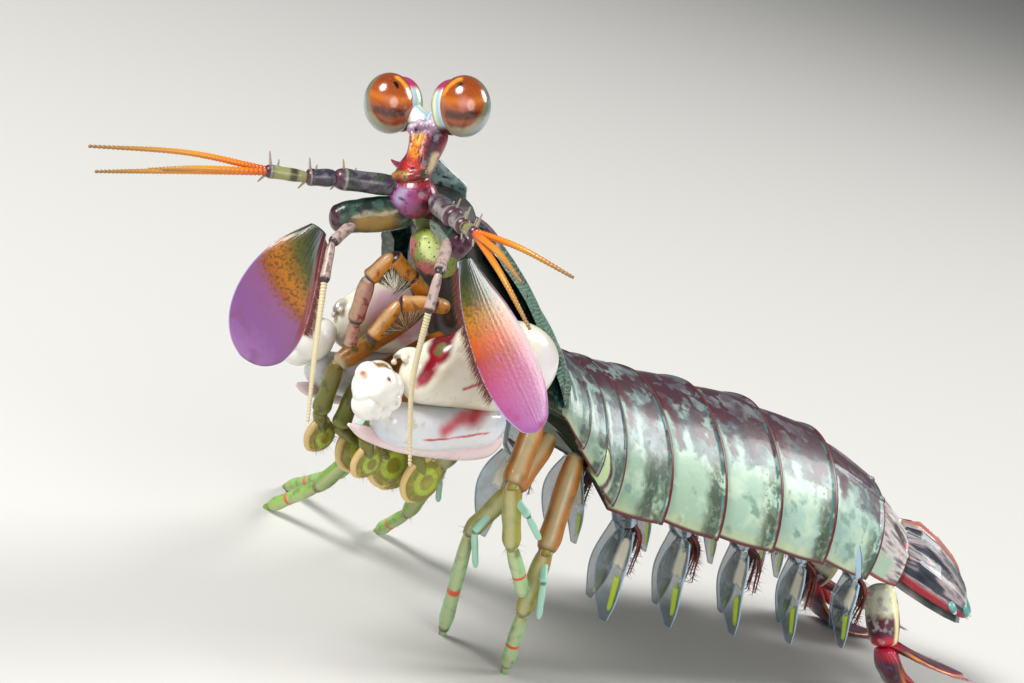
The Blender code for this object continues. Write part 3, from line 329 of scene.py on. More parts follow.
class Finish:
    """A material with the places that its pattern is drawn on."""

    def __init__(self, name, roughness=0.4, coat=0.25, shake=0.5, shake_size=0.7, scatter=0.0):
        self.material = bpy.data.materials.new(name)
        self.material.use_nodes = True
        self.tree = self.material.node_tree
        self.shader = self.tree.nodes["Principled BSDF"]
        self.shader.inputs["Roughness"].default_value = roughness
        self.shader.inputs["Coat Weight"].default_value = coat
        self.shader.inputs["Coat Roughness"].default_value = 0.12
        if scatter:
            self.shader.inputs["Subsurface Weight"].default_value = scatter
            self.shader.inputs["Subsurface Radius"].default_value = (1.0, 0.8, 0.7)
            self.shader.inputs["Subsurface Scale"].default_value = 0.4 * MM
        self.place = add(self.tree, "TexCoord").outputs["Object"]
        self.lie = add(self.tree, "UVMap", {"uv_map": "Lie"}).outputs[0]
        wander = add(self.tree, "TexNoise", {"Scale": 1 / (shake_size * MM), "Detail": 3.0},
                     {"Vector": self.place}).outputs["Color"]
        move = add(self.tree, "VectorMath", {"operation": "MULTIPLY_ADD", 1: (shake * MM,) * 3,
                                                       2: (-0.5 * shake * MM,) * 3}, {0: wander}).outputs[0]
        self.shaken = add(self.tree, "VectorMath", {"operation": "ADD"},
                          {0: self.place, 1: move}).outputs[0]
        drift = add(self.tree, "VectorMath", {"operation": "MULTIPLY_ADD", 1: (0.12, 0.16, 0.0),
                                                        2: (-0.06, -0.08, 0.0)}, {0: wander}).outputs[0]
        uneven = add(self.tree, "VectorMath", {"operation": "ADD"}, {0: self.lie, 1: drift}).outputs[0]
        plain = add(self.tree, "SeparateXYZ", {}, {0: self.lie})
        loose = add(self.tree, "SeparateXYZ", {}, {0: uneven})
        self.around, self.along = plain.outputs[0], plain.outputs[1]
        self.loose_around, self.loose_along = loose.outputs[0], loose.outputs[1]

    def rim_side(self):
        """From -1 on one edge of a flat blade to 1 on the other."""
        angle = add(self.tree, "Math", {"operation": "MULTIPLY", 1: 2 * math.pi},
                    {0: self.around}).outputs[0]
        return add(self.tree, "Math", {"operation": "COSINE"}, {0: angle}).outputs[0]

    def mottle(self, size, low, high, detail=3.0, seed=0.0):
        """A mask of blotches about `size` millimetres across; it rises from 0 at low to 1 at high."""
        scaled = add(self.tree, "Mapping", {"Location": (seed, seed, -seed)},
                     {"Vector": self.place}).outputs[0]
        spots = add(self.tree, "TexNoise", {"Scale": 1 / (size * MM), "Detail": detail},
                    {"Vector": scaled}).outputs["Fac"]
        return add(self.tree, "MapRange", {"interpolation_type": "SMOOTHSTEP", 1: low, 2: high},
                   {0: spots}).outputs[0]

    def near(self, start, end, reach, soft=0.3, strength=1.0):
        """A mask round the line between two places, in mm, fading out from reach - soft to reach + soft."""
        start, end = Vector(metres(start)), Vector(metres(end))
        along = end - start
        away = add(self.tree, "VectorMath", {"operation": "SUBTRACT", 1: start},
                   {0: self.shaken}).outputs[0]
        if along.length > 1e-9:
            dot = add(self.tree, "VectorMath", {"operation": "DOT_PRODUCT",
                                                          1: along / along.length_squared},
                                                          {0: away}).outputs[1]
            dot = add(self.tree, "Clamp", {}, {0: dot}).outputs[0]
            foot = add(self.tree, "VectorMath", {"operation": "SCALE", 0: along}, {3: dot}).outputs[0]
            away = add(self.tree, "VectorMath", {"operation": "SUBTRACT"}, {0: away, 1: foot}).outputs[0]
        far = add(self.tree, "VectorMath", {"operation": "LENGTH"}, {0: away}).outputs[1]
        return add(self.tree, "MapRange",
                   {"interpolation_type": "SMOOTHSTEP", 1: (reach - soft) * MM, 2: (reach + soft) * MM,
                    3: strength, 4: 0.0}, {0: far}).outputs[0]

    def wear(self, colour, grain=0.35, depth=0.02, detail=4.0):
        """Gives the shader its colour and a fine relief with lumps of `grain` mm, `depth` mm high."""
        if isinstance(colour, str):
            self.shader.inputs["Base Color"].default_value = linear(colour)
        else:
            self.tree.links.new(colour, self.shader.inputs["Base Color"])
        height = add(self.tree, "TexNoise", {"Scale": 1 / (grain * MM), "Detail": detail},
                     {"Vector": self.place}).outputs["Fac"]
        bump = add(self.tree, "Bump", {"Strength": 1.0, "Distance": depth * MM}, {"Height": height})
        self.tree.links.new(bump.outputs[0], self.shader.inputs["Normal"])
        return self.material


def finished(piece, material, slot, *nodes):
    """The piece gets its finish, rides on the animal and stands for the solids it replaces."""
    piece.data.materials.clear()
    piece.data.materials.append(material)
    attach(piece, "root")
    if nodes:
        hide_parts(*nodes)
    return piece


print("paint and nodes are ready")

# %% [markdown]
# ## The line of the body
# The trunk bends upwards in front and a little to the side. Stations along its line give a point and the
# directions left, up and rearward; every ring of the shell is built on them, so the rings follow the bend.

# %% Stations along the trunk
BODY_START = (0.55, 12.2, 15.1)
# Each step along the body: length in mm, pitch down to the rear, yaw to the left and roll, in degrees
REAR_STEPS = [(7.3, 7.8, 4.4, 0.0), (7.3, 5.5, 8.7, 0.0), (7.3, 7.0, 12.7, 0.0), (7.2, 14.4, 17.4, 0.0),
              (5.0, 26.0, 20.9, 0.0)]
FRONT_STEPS = [(6.4, 16.0, -2.0, 0.0), (3.0, 20.0, -3.0, 0.0), (3.0, 24.0, -5.0, 1.0),
               (3.0, 28.0, -7.0, 3.0),
               (4.5, 34.0, -9.0, 6.0), (4.5, 40.0, -11.0, 9.0), (4.5, 44.0, -13.0, 12.0),
               (4.5, 46.0, -15.0, 15.0)]


def station(point, pitch, yaw, roll):
    pitch, yaw, roll = (math.radians(angle) for angle in (pitch, yaw, roll))
    back = np.array((math.sin(yaw) * math.cos(pitch), math.cos(yaw) * math.cos(pitch), -math.sin(pitch)))
    left = np.array((math.cos(yaw), -math.sin(yaw), 0.0))
    up = np.cross(left, back)
    return np.array([point, left * math.cos(roll) + up * math.sin(roll),
                     up * math.cos(roll) - left * math.sin(roll),
                     back])


def stations(steps, sign):
    point, found = np.array(BODY_START), []
    for i, step in enumerate(steps):
        point = point + station(point, step[1], step[2], 0.0)[3] * step[0] * sign
        following = steps[min(i + 1, len(steps) - 1)]
        found.append(station(point, *[(step[k] + following[k]) / 2 for k in (1, 2, 3)]))
    return found


middle_angles = [(REAR_STEPS[0][k] + FRONT_STEPS[0][k]) / 2 for k in (1, 2, 3)]
LINE = np.array(stations(FRONT_STEPS, -1)[::-1] + [station(np.array(BODY_START), *middle_angles)]
                + stations(REAR_STEPS, 1))
LINE_START = -len(FRONT_STEPS)


def on_line(at, left, up, back=0.0):
    """Places beside the body's line; 0 is the rear edge of the first tail ring and 1 one ring further."""
    at = np.clip(np.asarray(at, float) - LINE_START, 0, len(LINE) - 1)
    low = np.minimum(at.astype(int), len(LINE) - 2)
    part = (at - low)[:, None, None]
    mixed = LINE[low] * (1 - part) + LINE[low + 1] * part
    left, up, back = (np.broadcast_to(value, at.shape)[:, None] for value in (left, up, back))
    return mixed[:, 0] + unit(mixed[:, 1]) * left + unit(mixed[:, 2]) * up + unit(mixed[:, 3]) * back


print(len(LINE), "stations")

# %% [markdown]
# ## The rings of the shell
# A tail ring is one hard plate, the tergite, arched over the back with straight sides. Its rear rim is
# thickened and lies over the front of the next ring, which is why the rings shine as a row of hoops. Each
# one is a skin with a raised rim; the front dips so that it goes under the ring before it.

# %% Shape a ring
# Each ring: its first station, then half width, height of the hem and of the top at its front and rear
# edges, and how far the soft belly bulges below the hem, all in mm
TERGITES = {
    "abdomen_somite_1": (-1, (9.8, 10.3), (-1.0, 0.0), (8.9, 9.5), 2.2),
    "abdomen_somite_2": (0, (10.4, 10.8), (0.2, 0.0), (9.6, 9.8), 2.2),
    "abdomen_somite_3": (1, (10.7, 10.6), (0.2, 0.0), (9.7, 9.7), 2.2),
    "abdomen_somite_4": (2, (10.5, 9.7), (0.2, 0.0), (9.6, 9.0), 2.2),
    "abdomen_somite_5": (3, (9.6, 7.6), (0.3, 0.3), (8.9, 7.3), 2.2),
    "abdomen_somite_6": (4, (7.4, 5.4), (0.8, 1.6), (7.2, 6.1), 1.6),
    "thorax_somite_8": (-2, (8.8, 9.5), (0.6, -0.6), (8.1, 8.7), 1.9),
    "thorax_somite_7": (-3, (8.2, 8.8), (1.4, 0.7), (7.8, 8.2), 1.6),
    "thorax_somite_6": (-4, (7.5, 8.2), (2.1, 1.5), (7.3, 7.8), 1.4),
}
# The share of the way round that is hard plate; the rest is the belly
OUTSIDE = 0.72
# The raised pale oval low on the last ring of the thorax
BOSS = np.array((9.3, 4.6, 19.5))


def tergite(name):
    start, widths, hems, tops, belly = TERGITES[name]
    rows = 50
    tail_end = name == "abdomen_somite_6"
    overlap = 0.0 if tail_end else 0.045

    def shape(around, along):
        share = np.clip((along - 1 / rows) / (1 - 2 / rows), 0, 1)
        swell = np.interp(share, (0, 0.05, 0.14, 0.55, 0.9, 0.94, 0.975, 1.0),
                          (0.95, 0.962, 0.975, 0.998, 1.005, 1.02, 1.022, 1.004))
        half = (widths[0] + (widths[1] - widths[0]) * share) * swell
        hem = hems[0] + (hems[1] - hems[0]) * share - 0.12 * np.sin(np.pi * share)
        top = (tops[0] + (tops[1] - tops[0]) * share) * swell
        over = np.clip(around / OUTSIDE, 0, 1)
        c, s = np.cos(np.pi * over), np.sin(np.pi * over)
        power = 2 / 1.75
        left = half * np.sign(c) * np.abs(c) ** power
        up = hem + (top - hem) * np.abs(s) ** power
        inside = around > OUTSIDE
        under = (around - OUTSIDE) / (1 - OUTSIDE)
        left = np.where(inside, np.interp(under, (0, 0.12, 0.3, 0.7, 0.88, 1),
                                          (-1, -0.93, -0.84, 0.84, 0.93, 1)) * half, left)
        up = np.where(inside, hem + np.interp(under, (0, 0.12, 0.3, 0.5, 0.7, 0.88, 1),
                                              (0, 0.25, 1, 0.9, 1, 0.25, 0)) * belly, up)
        height = np.where(inside, -0.3, 1 - np.abs(2 * over - 1))
        keel = 0.0
        if start >= 3:
            places = (0.36, 0.5, 0.64) if start == 3 else (0.22, 0.38, 0.5, 0.62, 0.78)
            ridges = sum(np.exp(-((over - place) / 0.012) ** 2) for place in places)
            keel = np.where(inside, 0.0, ridges * 0.22 * np.clip(share * 3, 0, 1))
        at = start + share * (1 + overlap)
        if tail_end:
            at = start + share * 0.985
        points = on_line(at, left, up)
        middle = on_line(at, 0.0 * left, top * 0.4)
        away = unit(points - middle)
        if start == -2:
            gap = points - BOSS
            oval = np.sqrt((gap[:, 0] / 2.0) ** 2 + (gap[:, 1] / 1.05) ** 2 + (gap[:, 2] / 2.0) ** 2)
            keel = keel + np.where(inside, 0.0,
                                   0.5 * np.exp(-oval ** 4) + 0.16 * np.exp(-((oval - 1.35) / 0.12) ** 2))
        points = points + away * np.broadcast_to(keel, around.shape)[:, None]
        capped = (along < 0.5 / rows) | (along > 1 - 0.5 / rows)
        points = np.where(capped[:, None], middle, points)
        return points, np.column_stack([height, share])

    return skin(name + "_shell", rows, 180, shape, keen=50)


rings = {name: tergite(name) for name in TERGITES}
print("rings:", len(rings), "faces each:", len(rings["abdomen_somite_3"].data.polygons))


# %% [markdown]
# ## The colours of the rings
# The flank shows a pale mint square at the front of each ring and a dark olive patch behind it. Above them
# the shell is blue-grey, clouded with maroon, and pale fingers reach up from the square. The rear rim is
# dark red with small blue-green dashes inside it. All of it is the same layered paint, with a little more
# mauve towards the tail.

# %% Paint the rings
def tergite_finish(name, square, square_top, cloud, mauve, patch):
    """Shell of lime-hardened chitin: matt pigment in the plate under a thin wet shine."""
    paint = Finish(name, roughness=0.42, coat=0.25, shake=0.5, shake_size=0.9)
    tree = paint.tree
    up, along = paint.loose_around, paint.loose_along
    base = painted(tree, "#58706B", [
        (paint.mottle(1.6, 0.42, 0.62), "#869E97"),
        (paint.mottle(2.6, 0.50, 0.62, seed=0.02), "#43565A"),
        (paint.mottle(0.7, 0.56, 0.70, seed=0.05), "#2A3A39"),
        (band(tree, up, 0.72, 1.3, 0.12, strength=mauve), "#573A4A"),
        (band(tree, up, 0.62, 1.3, 0.15, paint.mottle(2.1, 0.47, 0.52, seed=0.03)), "#3B1826"),
        (band(tree, along, -0.2, 0.30, 0.1,
              band(tree, up, 0.48, 0.82, 0.08, paint.mottle(2.2, 0.43, 0.48, seed=0.07))),
         "#451420"),
        (band(tree, along, 0.50, 0.97, 0.1,
              band(tree, up, 0.44, 0.86, 0.1, paint.mottle(2.0, 0.47, 0.53, seed=0.01))),
         "#40262B"),
    ])
    fingers = [(band(tree, along, low, high, 0.035, band(tree, up, square_top - 0.05, top, 0.03)), "#9DB8A8")
               for low, high, top in ((0.03, 0.15, 0.66), (0.30, 0.40, 0.58))]
    base = painted(tree, base, fingers)
    lower = painted(tree, square, [
        (paint.mottle(2.4, 0.45, 0.65, seed=0.04), "#BAD0B8"),
        (paint.mottle(1.6, 0.56, 0.68, seed=0.06), "#7C9C8B"),
        (band(tree, up, -0.1, 0.08, 0.05, strength=0.6), "#C6CB96"),
        (band(tree, along, patch, 1.1, 0.10, paint.mottle(2.0, 0.38, 0.50, seed=0.09), 0.9), "#354030"),
        (band(tree, along, patch, 0.93, 0.06, paint.mottle(0.6, 0.52, 0.60, seed=0.08)), "#6C8069"),
    ])
    base = painted(tree, base, [
        (band(tree, up, -0.4, square_top, 0.02, strength=cloud), lower),
        (band(tree, paint.around, -0.05, 0.03, 0.012), "#5A1520"),
        (band(tree, paint.around, -0.6, -0.1, 0.05), "#465243"),
        (band(tree, paint.along, 0.895, 0.918, 0.008, paint.mottle(0.9, 0.48, 0.52)), "#2F6E69"),
        (band(tree, paint.along, 0.937, 1.1, 0.012, band(tree, paint.around, -0.2, 1.2, 0.06)), "#5E181C"),
        (band(tree, paint.along, 0.965, 1.1, 0.010, paint.mottle(0.5, 0.45, 0.55)), "#2C1010"),
    ])
    return paint, base


TAIL_SHADES = {
    "abdomen_somite_2": ("#9FBBA3", 0.44, 0.55, 0.66),
    "abdomen_somite_3": ("#A2BFAA", 0.46, 0.60, 0.70),
    "abdomen_somite_4": ("#A0BDAE", 0.47, 0.72, 0.72),
    "abdomen_somite_5": ("#97B7AB", 0.48, 0.95, 0.76),
}
for name, (square, square_top, mauve, patch) in TAIL_SHADES.items():
    paint, colour = tergite_finish("Painted_shell_" + name[-1], square, square_top, 1.0, mauve, patch)
    finished(rings[name], paint.wear(colour, 0.5, 0.03), "tergite_shell", name)

paint, colour = tergite_finish("Painted_shell_1", "#93B095", 0.40, 0.9, 0.4, 0.45)
colour = painted(paint.tree, colour, [
    (band(paint.tree, paint.along, -0.2, 0.07, 0.03, band(paint.tree, paint.around, 0.08, 0.42, 0.05)),
     "#C9D6C4")])
finished(rings["abdomen_somite_1"], paint.wear(colour, 0.5, 0.03), "tergite_shell", "abdomen_somite_1")
for name in ("thorax_somite_8", "thorax_somite_7", "thorax_somite_6"):
    paint, colour = tergite_finish("Painted_shell_t" + name[-1], "#7E9884", 0.30, 0.8, 0.3, 0.6)
    if name.endswith("8"):
        low, high = BOSS - (0.0, 0.0, 0.9), BOSS + (0.0, 0.0, 0.8)
        colour = painted(paint.tree, colour, [
            (paint.near(low, high, 1.25, 0.15), "#55202E"), (paint.near(low, high, 0.9, 0.12), "#B4CC98"),
            (paint.near(BOSS, BOSS + (0, 0, 0.1), 0.26, 0.1), "#2A1418")])
    finished(rings[name], paint.wear(colour, 0.4, 0.03), "tergite_shell", name)
print("rings painted")

# %% [markdown]
# ## The last ring
# The sixth ring carries low keels and is streaked rather than squared: white, pink and grey run back along
# it, with one dark red patch on the flank.

# %% Paint the last ring
paint = Finish("Streaked_shell", roughness=0.4, coat=0.3, shake=0.5)
tree = paint.tree
streaks = add(tree, "TexNoise", {"Scale": 9.0, "Detail": 3.0},
              {"Vector": add(tree, "VectorMath", {"operation": "MULTIPLY", 1: (1.6, 0.18, 0.0)},
                             {0: paint.lie}).outputs[0]}).outputs["Fac"]
colour = add(tree, "ValToRGB", {"stops": [(0.28, "#41272F"), (0.42, "#8E8088"), (0.52, "#D9CDC8"),
                                                    (0.62, "#A9B7AD"), (0.74, "#5F6F6B")]},
                                                    {0: streaks}).outputs[0]
colour = painted(tree, colour, [
    (paint.near((10.9, 44.5, 13.8), (10.6, 43.9, 14.6), 0.75, 0.25), "#3A0E18"),
    (paint.near((11.2, 44.9, 13.2), (11.2, 44.9, 13.2), 0.35, 0.15), "#B3222C"),
    (band(tree, paint.loose_around, -0.1, 0.28, 0.05, band(tree, paint.along, -0.1, 0.6, 0.1)), "#A9C4AC"),
    (band(tree, paint.around, -0.05, 0.05, 0.015), "#8E2B2E"),
    (band(tree, paint.along, 0.95, 1.1, 0.015), "#6B1E22"),
])
finished(rings["abdomen_somite_6"], paint.wear(colour, 0.4, 0.03), "tergite_shell", "abdomen_somite_6")
print("last ring painted")

# %% [markdown]
# ## The carapace
# The shield over the head end is a thin shell, open below. It is one skin that goes over the back and
# returns inside, 0.9 mm thinner, with two shallow grooves along it and a rolled margin. Outside it is
# dark green with fine hatching; its inner wing, seen past the mouth, is teal with rounded paler cells.

# %% Shape and paint the carapace
# Half width, height of the hem and of the top, in mm, from the rear edge to the front
CARAPACE_SIZES = [(6.7, 2.8, 7.0), (6.8, 3.4, 7.5), (6.5, 3.5, 7.3), (5.9, 3.4, 7.0), (4.5, 3.1, 6.5)]
# The thickness of the wall in mm, and the rows of points along it
SHIELD, SHIELD_ROWS = 0.9, 60


def shield(around, along):
    share = np.clip((along - 1 / SHIELD_ROWS) / (1 - 2 / SHIELD_ROWS), 0, 1)
    half, hem, top = (level([size[k] for size in CARAPACE_SIZES], share) for k in range(3))
    thin = np.interp(share, (0, 0.06, 0.94, 1.0), (0.55, SHIELD, SHIELD, 0.55))
    inside = around > 0.5
    over = np.where(inside, 2 - 2 * around, 2 * around)
    angle = np.pi * over
    c, s = np.cos(angle), np.sin(angle)
    power = 2 / 2.2
    rim = 0.12 * np.exp(-((over * (1 - over) * 4) / 0.1) ** 2) + 0.1 * np.exp(-((share - 0.97) / 0.025) ** 2)
    groove = 0.3 * (np.exp(-((over - 0.28) / 0.02) ** 2) + np.exp(-((over - 0.72) / 0.02) ** 2)) \
        * np.clip(6 * share * (1 - share), 0, 1)
    half = half - np.where(inside, thin, -rim + groove)
    top = top - np.where(inside, thin, -rim + groove)
    left = half * np.sign(c) * np.abs(c) ** power
    up = hem + (top - hem) * np.abs(s) ** power
    at = -4 - 4 * share
    points = on_line(at, left, up, np.interp(share, (0, 0.02), (-0.3, 0)))
    mid_half, mid_top = (half + np.where(inside, thin / 2, -thin / 2)), (top + np.where(inside, thin / 2,
                                                                                        -thin / 2))
    middle = on_line(at, mid_half * np.sign(c) * np.abs(c) ** power,
                     hem + (mid_top - hem) * np.abs(s) ** power)
    capped = (along < 0.5 / SHIELD_ROWS) | (along > 1 - 0.5 / SHIELD_ROWS)
    points = np.where(capped[:, None], middle, points)
    return points, np.column_stack([np.where(inside, 1.2 + over, over), share])


carapace = skin("carapace_shield", SHIELD_ROWS, 200, shield, keen=55)
paint = Finish("Green_hatched_shell", roughness=0.38, coat=0.3)
tree = paint.tree
cells = add(tree, "TexVoronoi", {"Scale": 1 / (0.55 * MM), "Randomness": 0.8},
            {"Vector": paint.place}).outputs["Distance"]
inner = painted(tree, "#12302F", [
    (add(tree, "MapRange", {1: 0.5, 2: 0.28}, {0: cells}).outputs[0], "#2E6660")])
lines = add(tree, "TexWave", {"Scale": 1 / (0.9 * MM), "Distortion": 6.0, "Detail": 2.0,
                                        "bands_direction": "Z"}, {"Vector": paint.shaken}).outputs["Fac"]
outer = painted(tree, "#1E3B33", [
    (paint.mottle(2.2, 0.40, 0.62), "#47705C"),
    (add(tree, "MapRange", {1: 0.62, 2: 0.9, 4: 0.7}, {0: lines}).outputs[0], "#7FA38A"),
    (paint.mottle(1.4, 0.55, 0.62, seed=0.03), "#172420"),
    (band(tree, paint.along, 0.96, 1.2, 0.02), "#7A5A63"),
])
colour = painted(tree, outer, [(band(tree, paint.around, 1.1, 3.0, 0.05), inner)])
finished(carapace, paint.wear(colour, 0.3, 0.04), "carapace_shell", "carapace")
print("carapace faces:", len(carapace.data.polygons))

# %% [markdown]
# ## The mouth region
# Under the shield the body is soft and dark, and a rounded upper lip, the labrum, stands out in front. The
# solid of this part is already the right form, so a copy of it is melted into a fine even skin and
# softened; its colours are laid on by place.


# %% Copy a solid and soften it
def from_solid(name, node, voxel, rounds):
    """A softened copy of a solid, with the solid itself left alone."""
    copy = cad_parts[node].copy()
    copy.data = copy.data.copy()
    copy.name = name
    for key in list(copy.keys()):
        if key.startswith("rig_"):
            del copy[key]
    copy.parent = None
    bpy.context.scene.collection.objects.link(copy)
    one_selected(copy)
    bpy.ops.object.mode_set(mode="EDIT")
    bpy.ops.mesh.select_all(action="SELECT")
    bpy.ops.mesh.remove_doubles(threshold=2e-6)
    bpy.ops.object.mode_set(mode="OBJECT")
    return melted(copy, voxel, rounds)


LABRUM = [(5.2, -16.7, 36.0), (5.7, -16.6, 34.6), (6.1, -16.0, 33.0)]
mouth = from_solid("mouth_region", "thorax", 0.15, 6)
paint = Finish("Soft_skin_and_lip", roughness=0.4, coat=0.3, shake=0.4)
tree = paint.tree
lip = painted(tree, "#7E8A3A", [
    # The pale spot on the upper lip is a painted highlight, over the lip's yellow-green.
    (paint.near((6.7, -17.6, 35.2), (7.0, -17.3, 34.7), 0.75, 0.35), "#DCE89A"),
    (paint.near((6.1, -17.4, 36.2), (5.6, -17.6, 36.3), 0.7, 0.4), "#A8B84C"),
    (paint.near((6.6, -17.2, 32.9), (7.4, -15.8, 33.2), 1.1, 0.35), "#B9605E"),
    (paint.near((5.2, -18.0, 34.8), (5.2, -17.8, 33.4), 0.5, 0.3), "#A8464F"),
    (paint.mottle(0.2, 0.63, 0.70, detail=1.0), "#2A301A"),
])
colour = painted(tree, "#26302A", [
    (paint.mottle(1.2, 0.4, 0.7), "#3E2A2A"),
    (paint.near(LABRUM[0], LABRUM[2], 2.2, 0.3), lip),
])
finished(mouth, paint.wear(colour, 0.3, 0.03), "mouth_region", "thorax")
print("mouth region faces:", len(mouth.data.polygons))

# %% [markdown]
# ## The head
# A mantis shrimp's head has a movable front part on a neck: a knobbly crown between the eyestalks, a neck
# striped orange, a magenta bulb and a gold band between them. Overlapping forms are melted together, then
# painted by place. The rostral plate is a thin shield behind the neck with a pointed corner.

# %% Shape the head
HEAD_LEFT = np.array((0.88, 0.285, 0.381))
HEAD_UP = np.array((-0.381, -0.056, 0.923))
HEAD_FORWARD = np.array((0.284, -0.957, 0.060))
HEAD_AXES = (HEAD_UP, HEAD_LEFT, HEAD_FORWARD)
BULB = np.array((4.1, -18.3, 38.0))
NECK_TOP = np.array((3.0, -17.8, 43.0))


def head_at(left, forward, up, start=BULB):
    return start + HEAD_LEFT * left + HEAD_FORWARD * forward + HEAD_UP * up


def neck_at(left, forward, up):
    """A place beside the neck's own axis, which leans away from the head's."""
    return head_at(left + 0.216 * up, forward - 0.098 * up, up)


forms = [ball("head", BULB, HEAD_AXES, (1.65, 1.95, 1.6)),
         tube("neck", [BULB, head_at(0, 0, 1.5), BULB * 0.45 + NECK_TOP * 0.55, NECK_TOP - HEAD_UP * 0.7,
                       NECK_TOP - HEAD_UP * 0.1], [1.5, 1.4, 1.25, 1.5, 1.35], [1.3, 1.15, 1.05, 1.2, 1.0],
              hint=HEAD_LEFT),
         tube("brow", [on_line([-8], 0.0, 5.0, -1.2)[0], BULB - HEAD_FORWARD * 0.6], [1.7, 1.5], [1.1, 1.2])]
for left, forward, up, radius in ((-0.95, 0.7, -0.1, 0.45), (0.95, 0.7, -0.1, 0.45), (0.0, 0.95, 0.05, 0.4),
                                  (-0.4, 0.5, 0.25, 0.4), (0.5, 0.5, 0.25, 0.4), (1.2, 0.2, -0.6, 0.35),
                                  (-1.2, 0.2, -0.7, 0.35)):
    forms.append(ball("knob", head_at(left, forward, up, NECK_TOP), HEAD_AXES, (radius,) * 3, 12, 8))
for side in (-1, 1):
    forms.append(tube("ridge", [neck_at(0.45 * side, 0.95, 2.2), neck_at(0.42 * side, 0.9, 3.5),
                                neck_at(0.75 * side, 0.95, 4.7)], [0.18, 0.26, 0.2], sides=10, rows=14))
    root = head_at(0.9 * side, 0, 2.2)
    forms.append(tube("prong", [root, root + HEAD_LEFT * side * 0.6 + HEAD_UP * 0.3,
                                root + HEAD_LEFT * side * 1.0 + HEAD_UP * 0.6], [0.34, 0.2, 0.07], sides=10,
                                rows=12))
forms.append(tube("band", [head_at(-1.35, 0.35, 1.55), head_at(-0.6, 1.15, 1.4), head_at(0.7, 1.1, 1.4),
                           head_at(1.4, 0.3, 1.6)], [0.28, 0.36, 0.36, 0.28], sides=12, rows=24))
head = melted(joined("head_form", forms), 0.085, 3)
paint = Finish("Magenta_head_shell", roughness=0.3, coat=0.5, shake=0.35, shake_size=0.5)
tree = paint.tree
colour = painted(tree, "#7A1230", [
    (paint.near(head_at(-0.2, 1.3, -0.3), head_at(-0.2, 1.3, -0.2), 1.25, 0.6), "#8A3E78"),
    # The small grey-violet spot on the bulb is a painted highlight.
    (paint.near(head_at(0.1, 1.6, 0.3), head_at(-0.3, 1.5, -0.3), 0.42, 0.35), "#9D8AAC"),
    (paint.near(head_at(-1.9, 0.4, 0.4), head_at(-1.5, 0.8, -1.2), 0.4, 0.3), "#C41C58"),
    (paint.near(neck_at(0.0, 0.6, 1.8), neck_at(0.0, 0.6, 5.0), 1.6, 0.2), "#7E1418"),
    (paint.near(neck_at(0.1, 1.1, 2.2), neck_at(0.1, 1.1, 3.6), 0.7, 0.4), "#B2261A"),
    (paint.near(neck_at(0.0, 1.1, 3.2), neck_at(0.05, 1.1, 4.9), 0.5, 0.35), "#DE8420"),
    (paint.near(neck_at(0.1, 1.1, 4.0), neck_at(0.1, 1.1, 4.9), 0.22, 0.16), "#D9B24E"),
    (paint.near(neck_at(0.0, 1.15, 3.0), neck_at(0.0, 1.15, 5.0), 0.06, 0.05), "#2E1A12"),
    (paint.near(neck_at(-0.42, 1.1, 3.3), neck_at(-0.5, 1.1, 4.8), 0.09, 0.07), "#E2BC88"),
    (paint.near(neck_at(0.5, 1.1, 3.1), neck_at(0.65, 1.1, 4.8), 0.09, 0.07), "#CFA09A"),
    (paint.near(neck_at(1.15, 0.7, 2.4), neck_at(1.25, 0.7, 4.8), 0.45, 0.3), "#35102C"),
    (paint.near(neck_at(1.35, 0.3, 1.9), neck_at(1.4, 0.3, 2.8), 0.35, 0.2), "#CDBB90"),
    (paint.near(neck_at(-1.2, 0.5, 2.0), neck_at(-1.3, 0.5, 4.8), 0.28, 0.18), "#B51A54"),
    (paint.near(head_at(-1.3, 0.4, 1.5), head_at(1.3, 0.6, 1.5), 0.42, 0.15), "#3A3A22"),
    (paint.near(head_at(-0.8, 1.1, 1.45), head_at(0.3, 1.3, 1.45), 0.34, 0.12), "#A88C34"),
    (paint.near(neck_at(-1.1, 0.9, 5.1), neck_at(0.9, 0.9, 5.2), 0.7, 0.25), "#8E6E86"),
    (paint.mottle(0.6, 0.54, 0.68, detail=2.0), "#4A1430"),
    (paint.near(neck_at(-1.0, 1.0, 5.35), neck_at(0.9, 1.0, 5.45), 0.34, 0.2, 0.8), "#C9B6C2"),
])
finished(head, paint.wear(colour, 0.18, 0.05), "head", "head")
print("head faces:", len(head.data.polygons))

# %% [markdown]
# The rostral plate is a flat blade. Its outline is widest past the middle and it ends in a keen corner; a
# thin raised border runs round it.

# %% The rostral plate
plate_base = on_line([-8], -0.6, 6.4, -0.4)[0]
plate_tip = plate_base + (0.1, -2.6, 3.6)
front_left = unit(on_line([-8], 1.0, 0.0)[0] - on_line([-8], 0.0, 0.0)[0])


def raised_border(around, share, points):
    """A low bead near both edges of a flat blade."""
    return 0.09 * np.exp(-((np.abs(np.cos(2 * np.pi * around)) - 0.93) / 0.05) ** 2)


rostral = tube("rostral_shield",
               [plate_base + (plate_tip - plate_base) * share for share in (0, 0.3, 0.5, 0.75, 1)],
               [1.7, 2.0, 2.15, 1.2, 0.18], [0.3, 0.3, 0.32, 0.28, 0.12], hint=front_left, sides=72, rows=60,
               relief=raised_border)
paint = Finish("Translucent_plate", roughness=0.3, coat=0.5)
tree = paint.tree
colour = painted(tree, "#6E8F8C", [
    (paint.mottle(1.0, 0.42, 0.62), "#A9C0C0"),
    (paint.mottle(0.6, 0.56, 0.66, seed=0.04), "#2F4C50"),
    (band(tree, paint.around, 0.44, 0.56, 0.02), "#E3E4DE"),
    (band(tree, paint.around, -0.1, 0.05, 0.02), "#D9DDD8"),
    (band(tree, paint.around, 0.95, 1.1, 0.02), "#D9DDD8"),
])
finished(rostral, paint.wear(colour, 0.3, 0.03), "head", "rostral_plate")
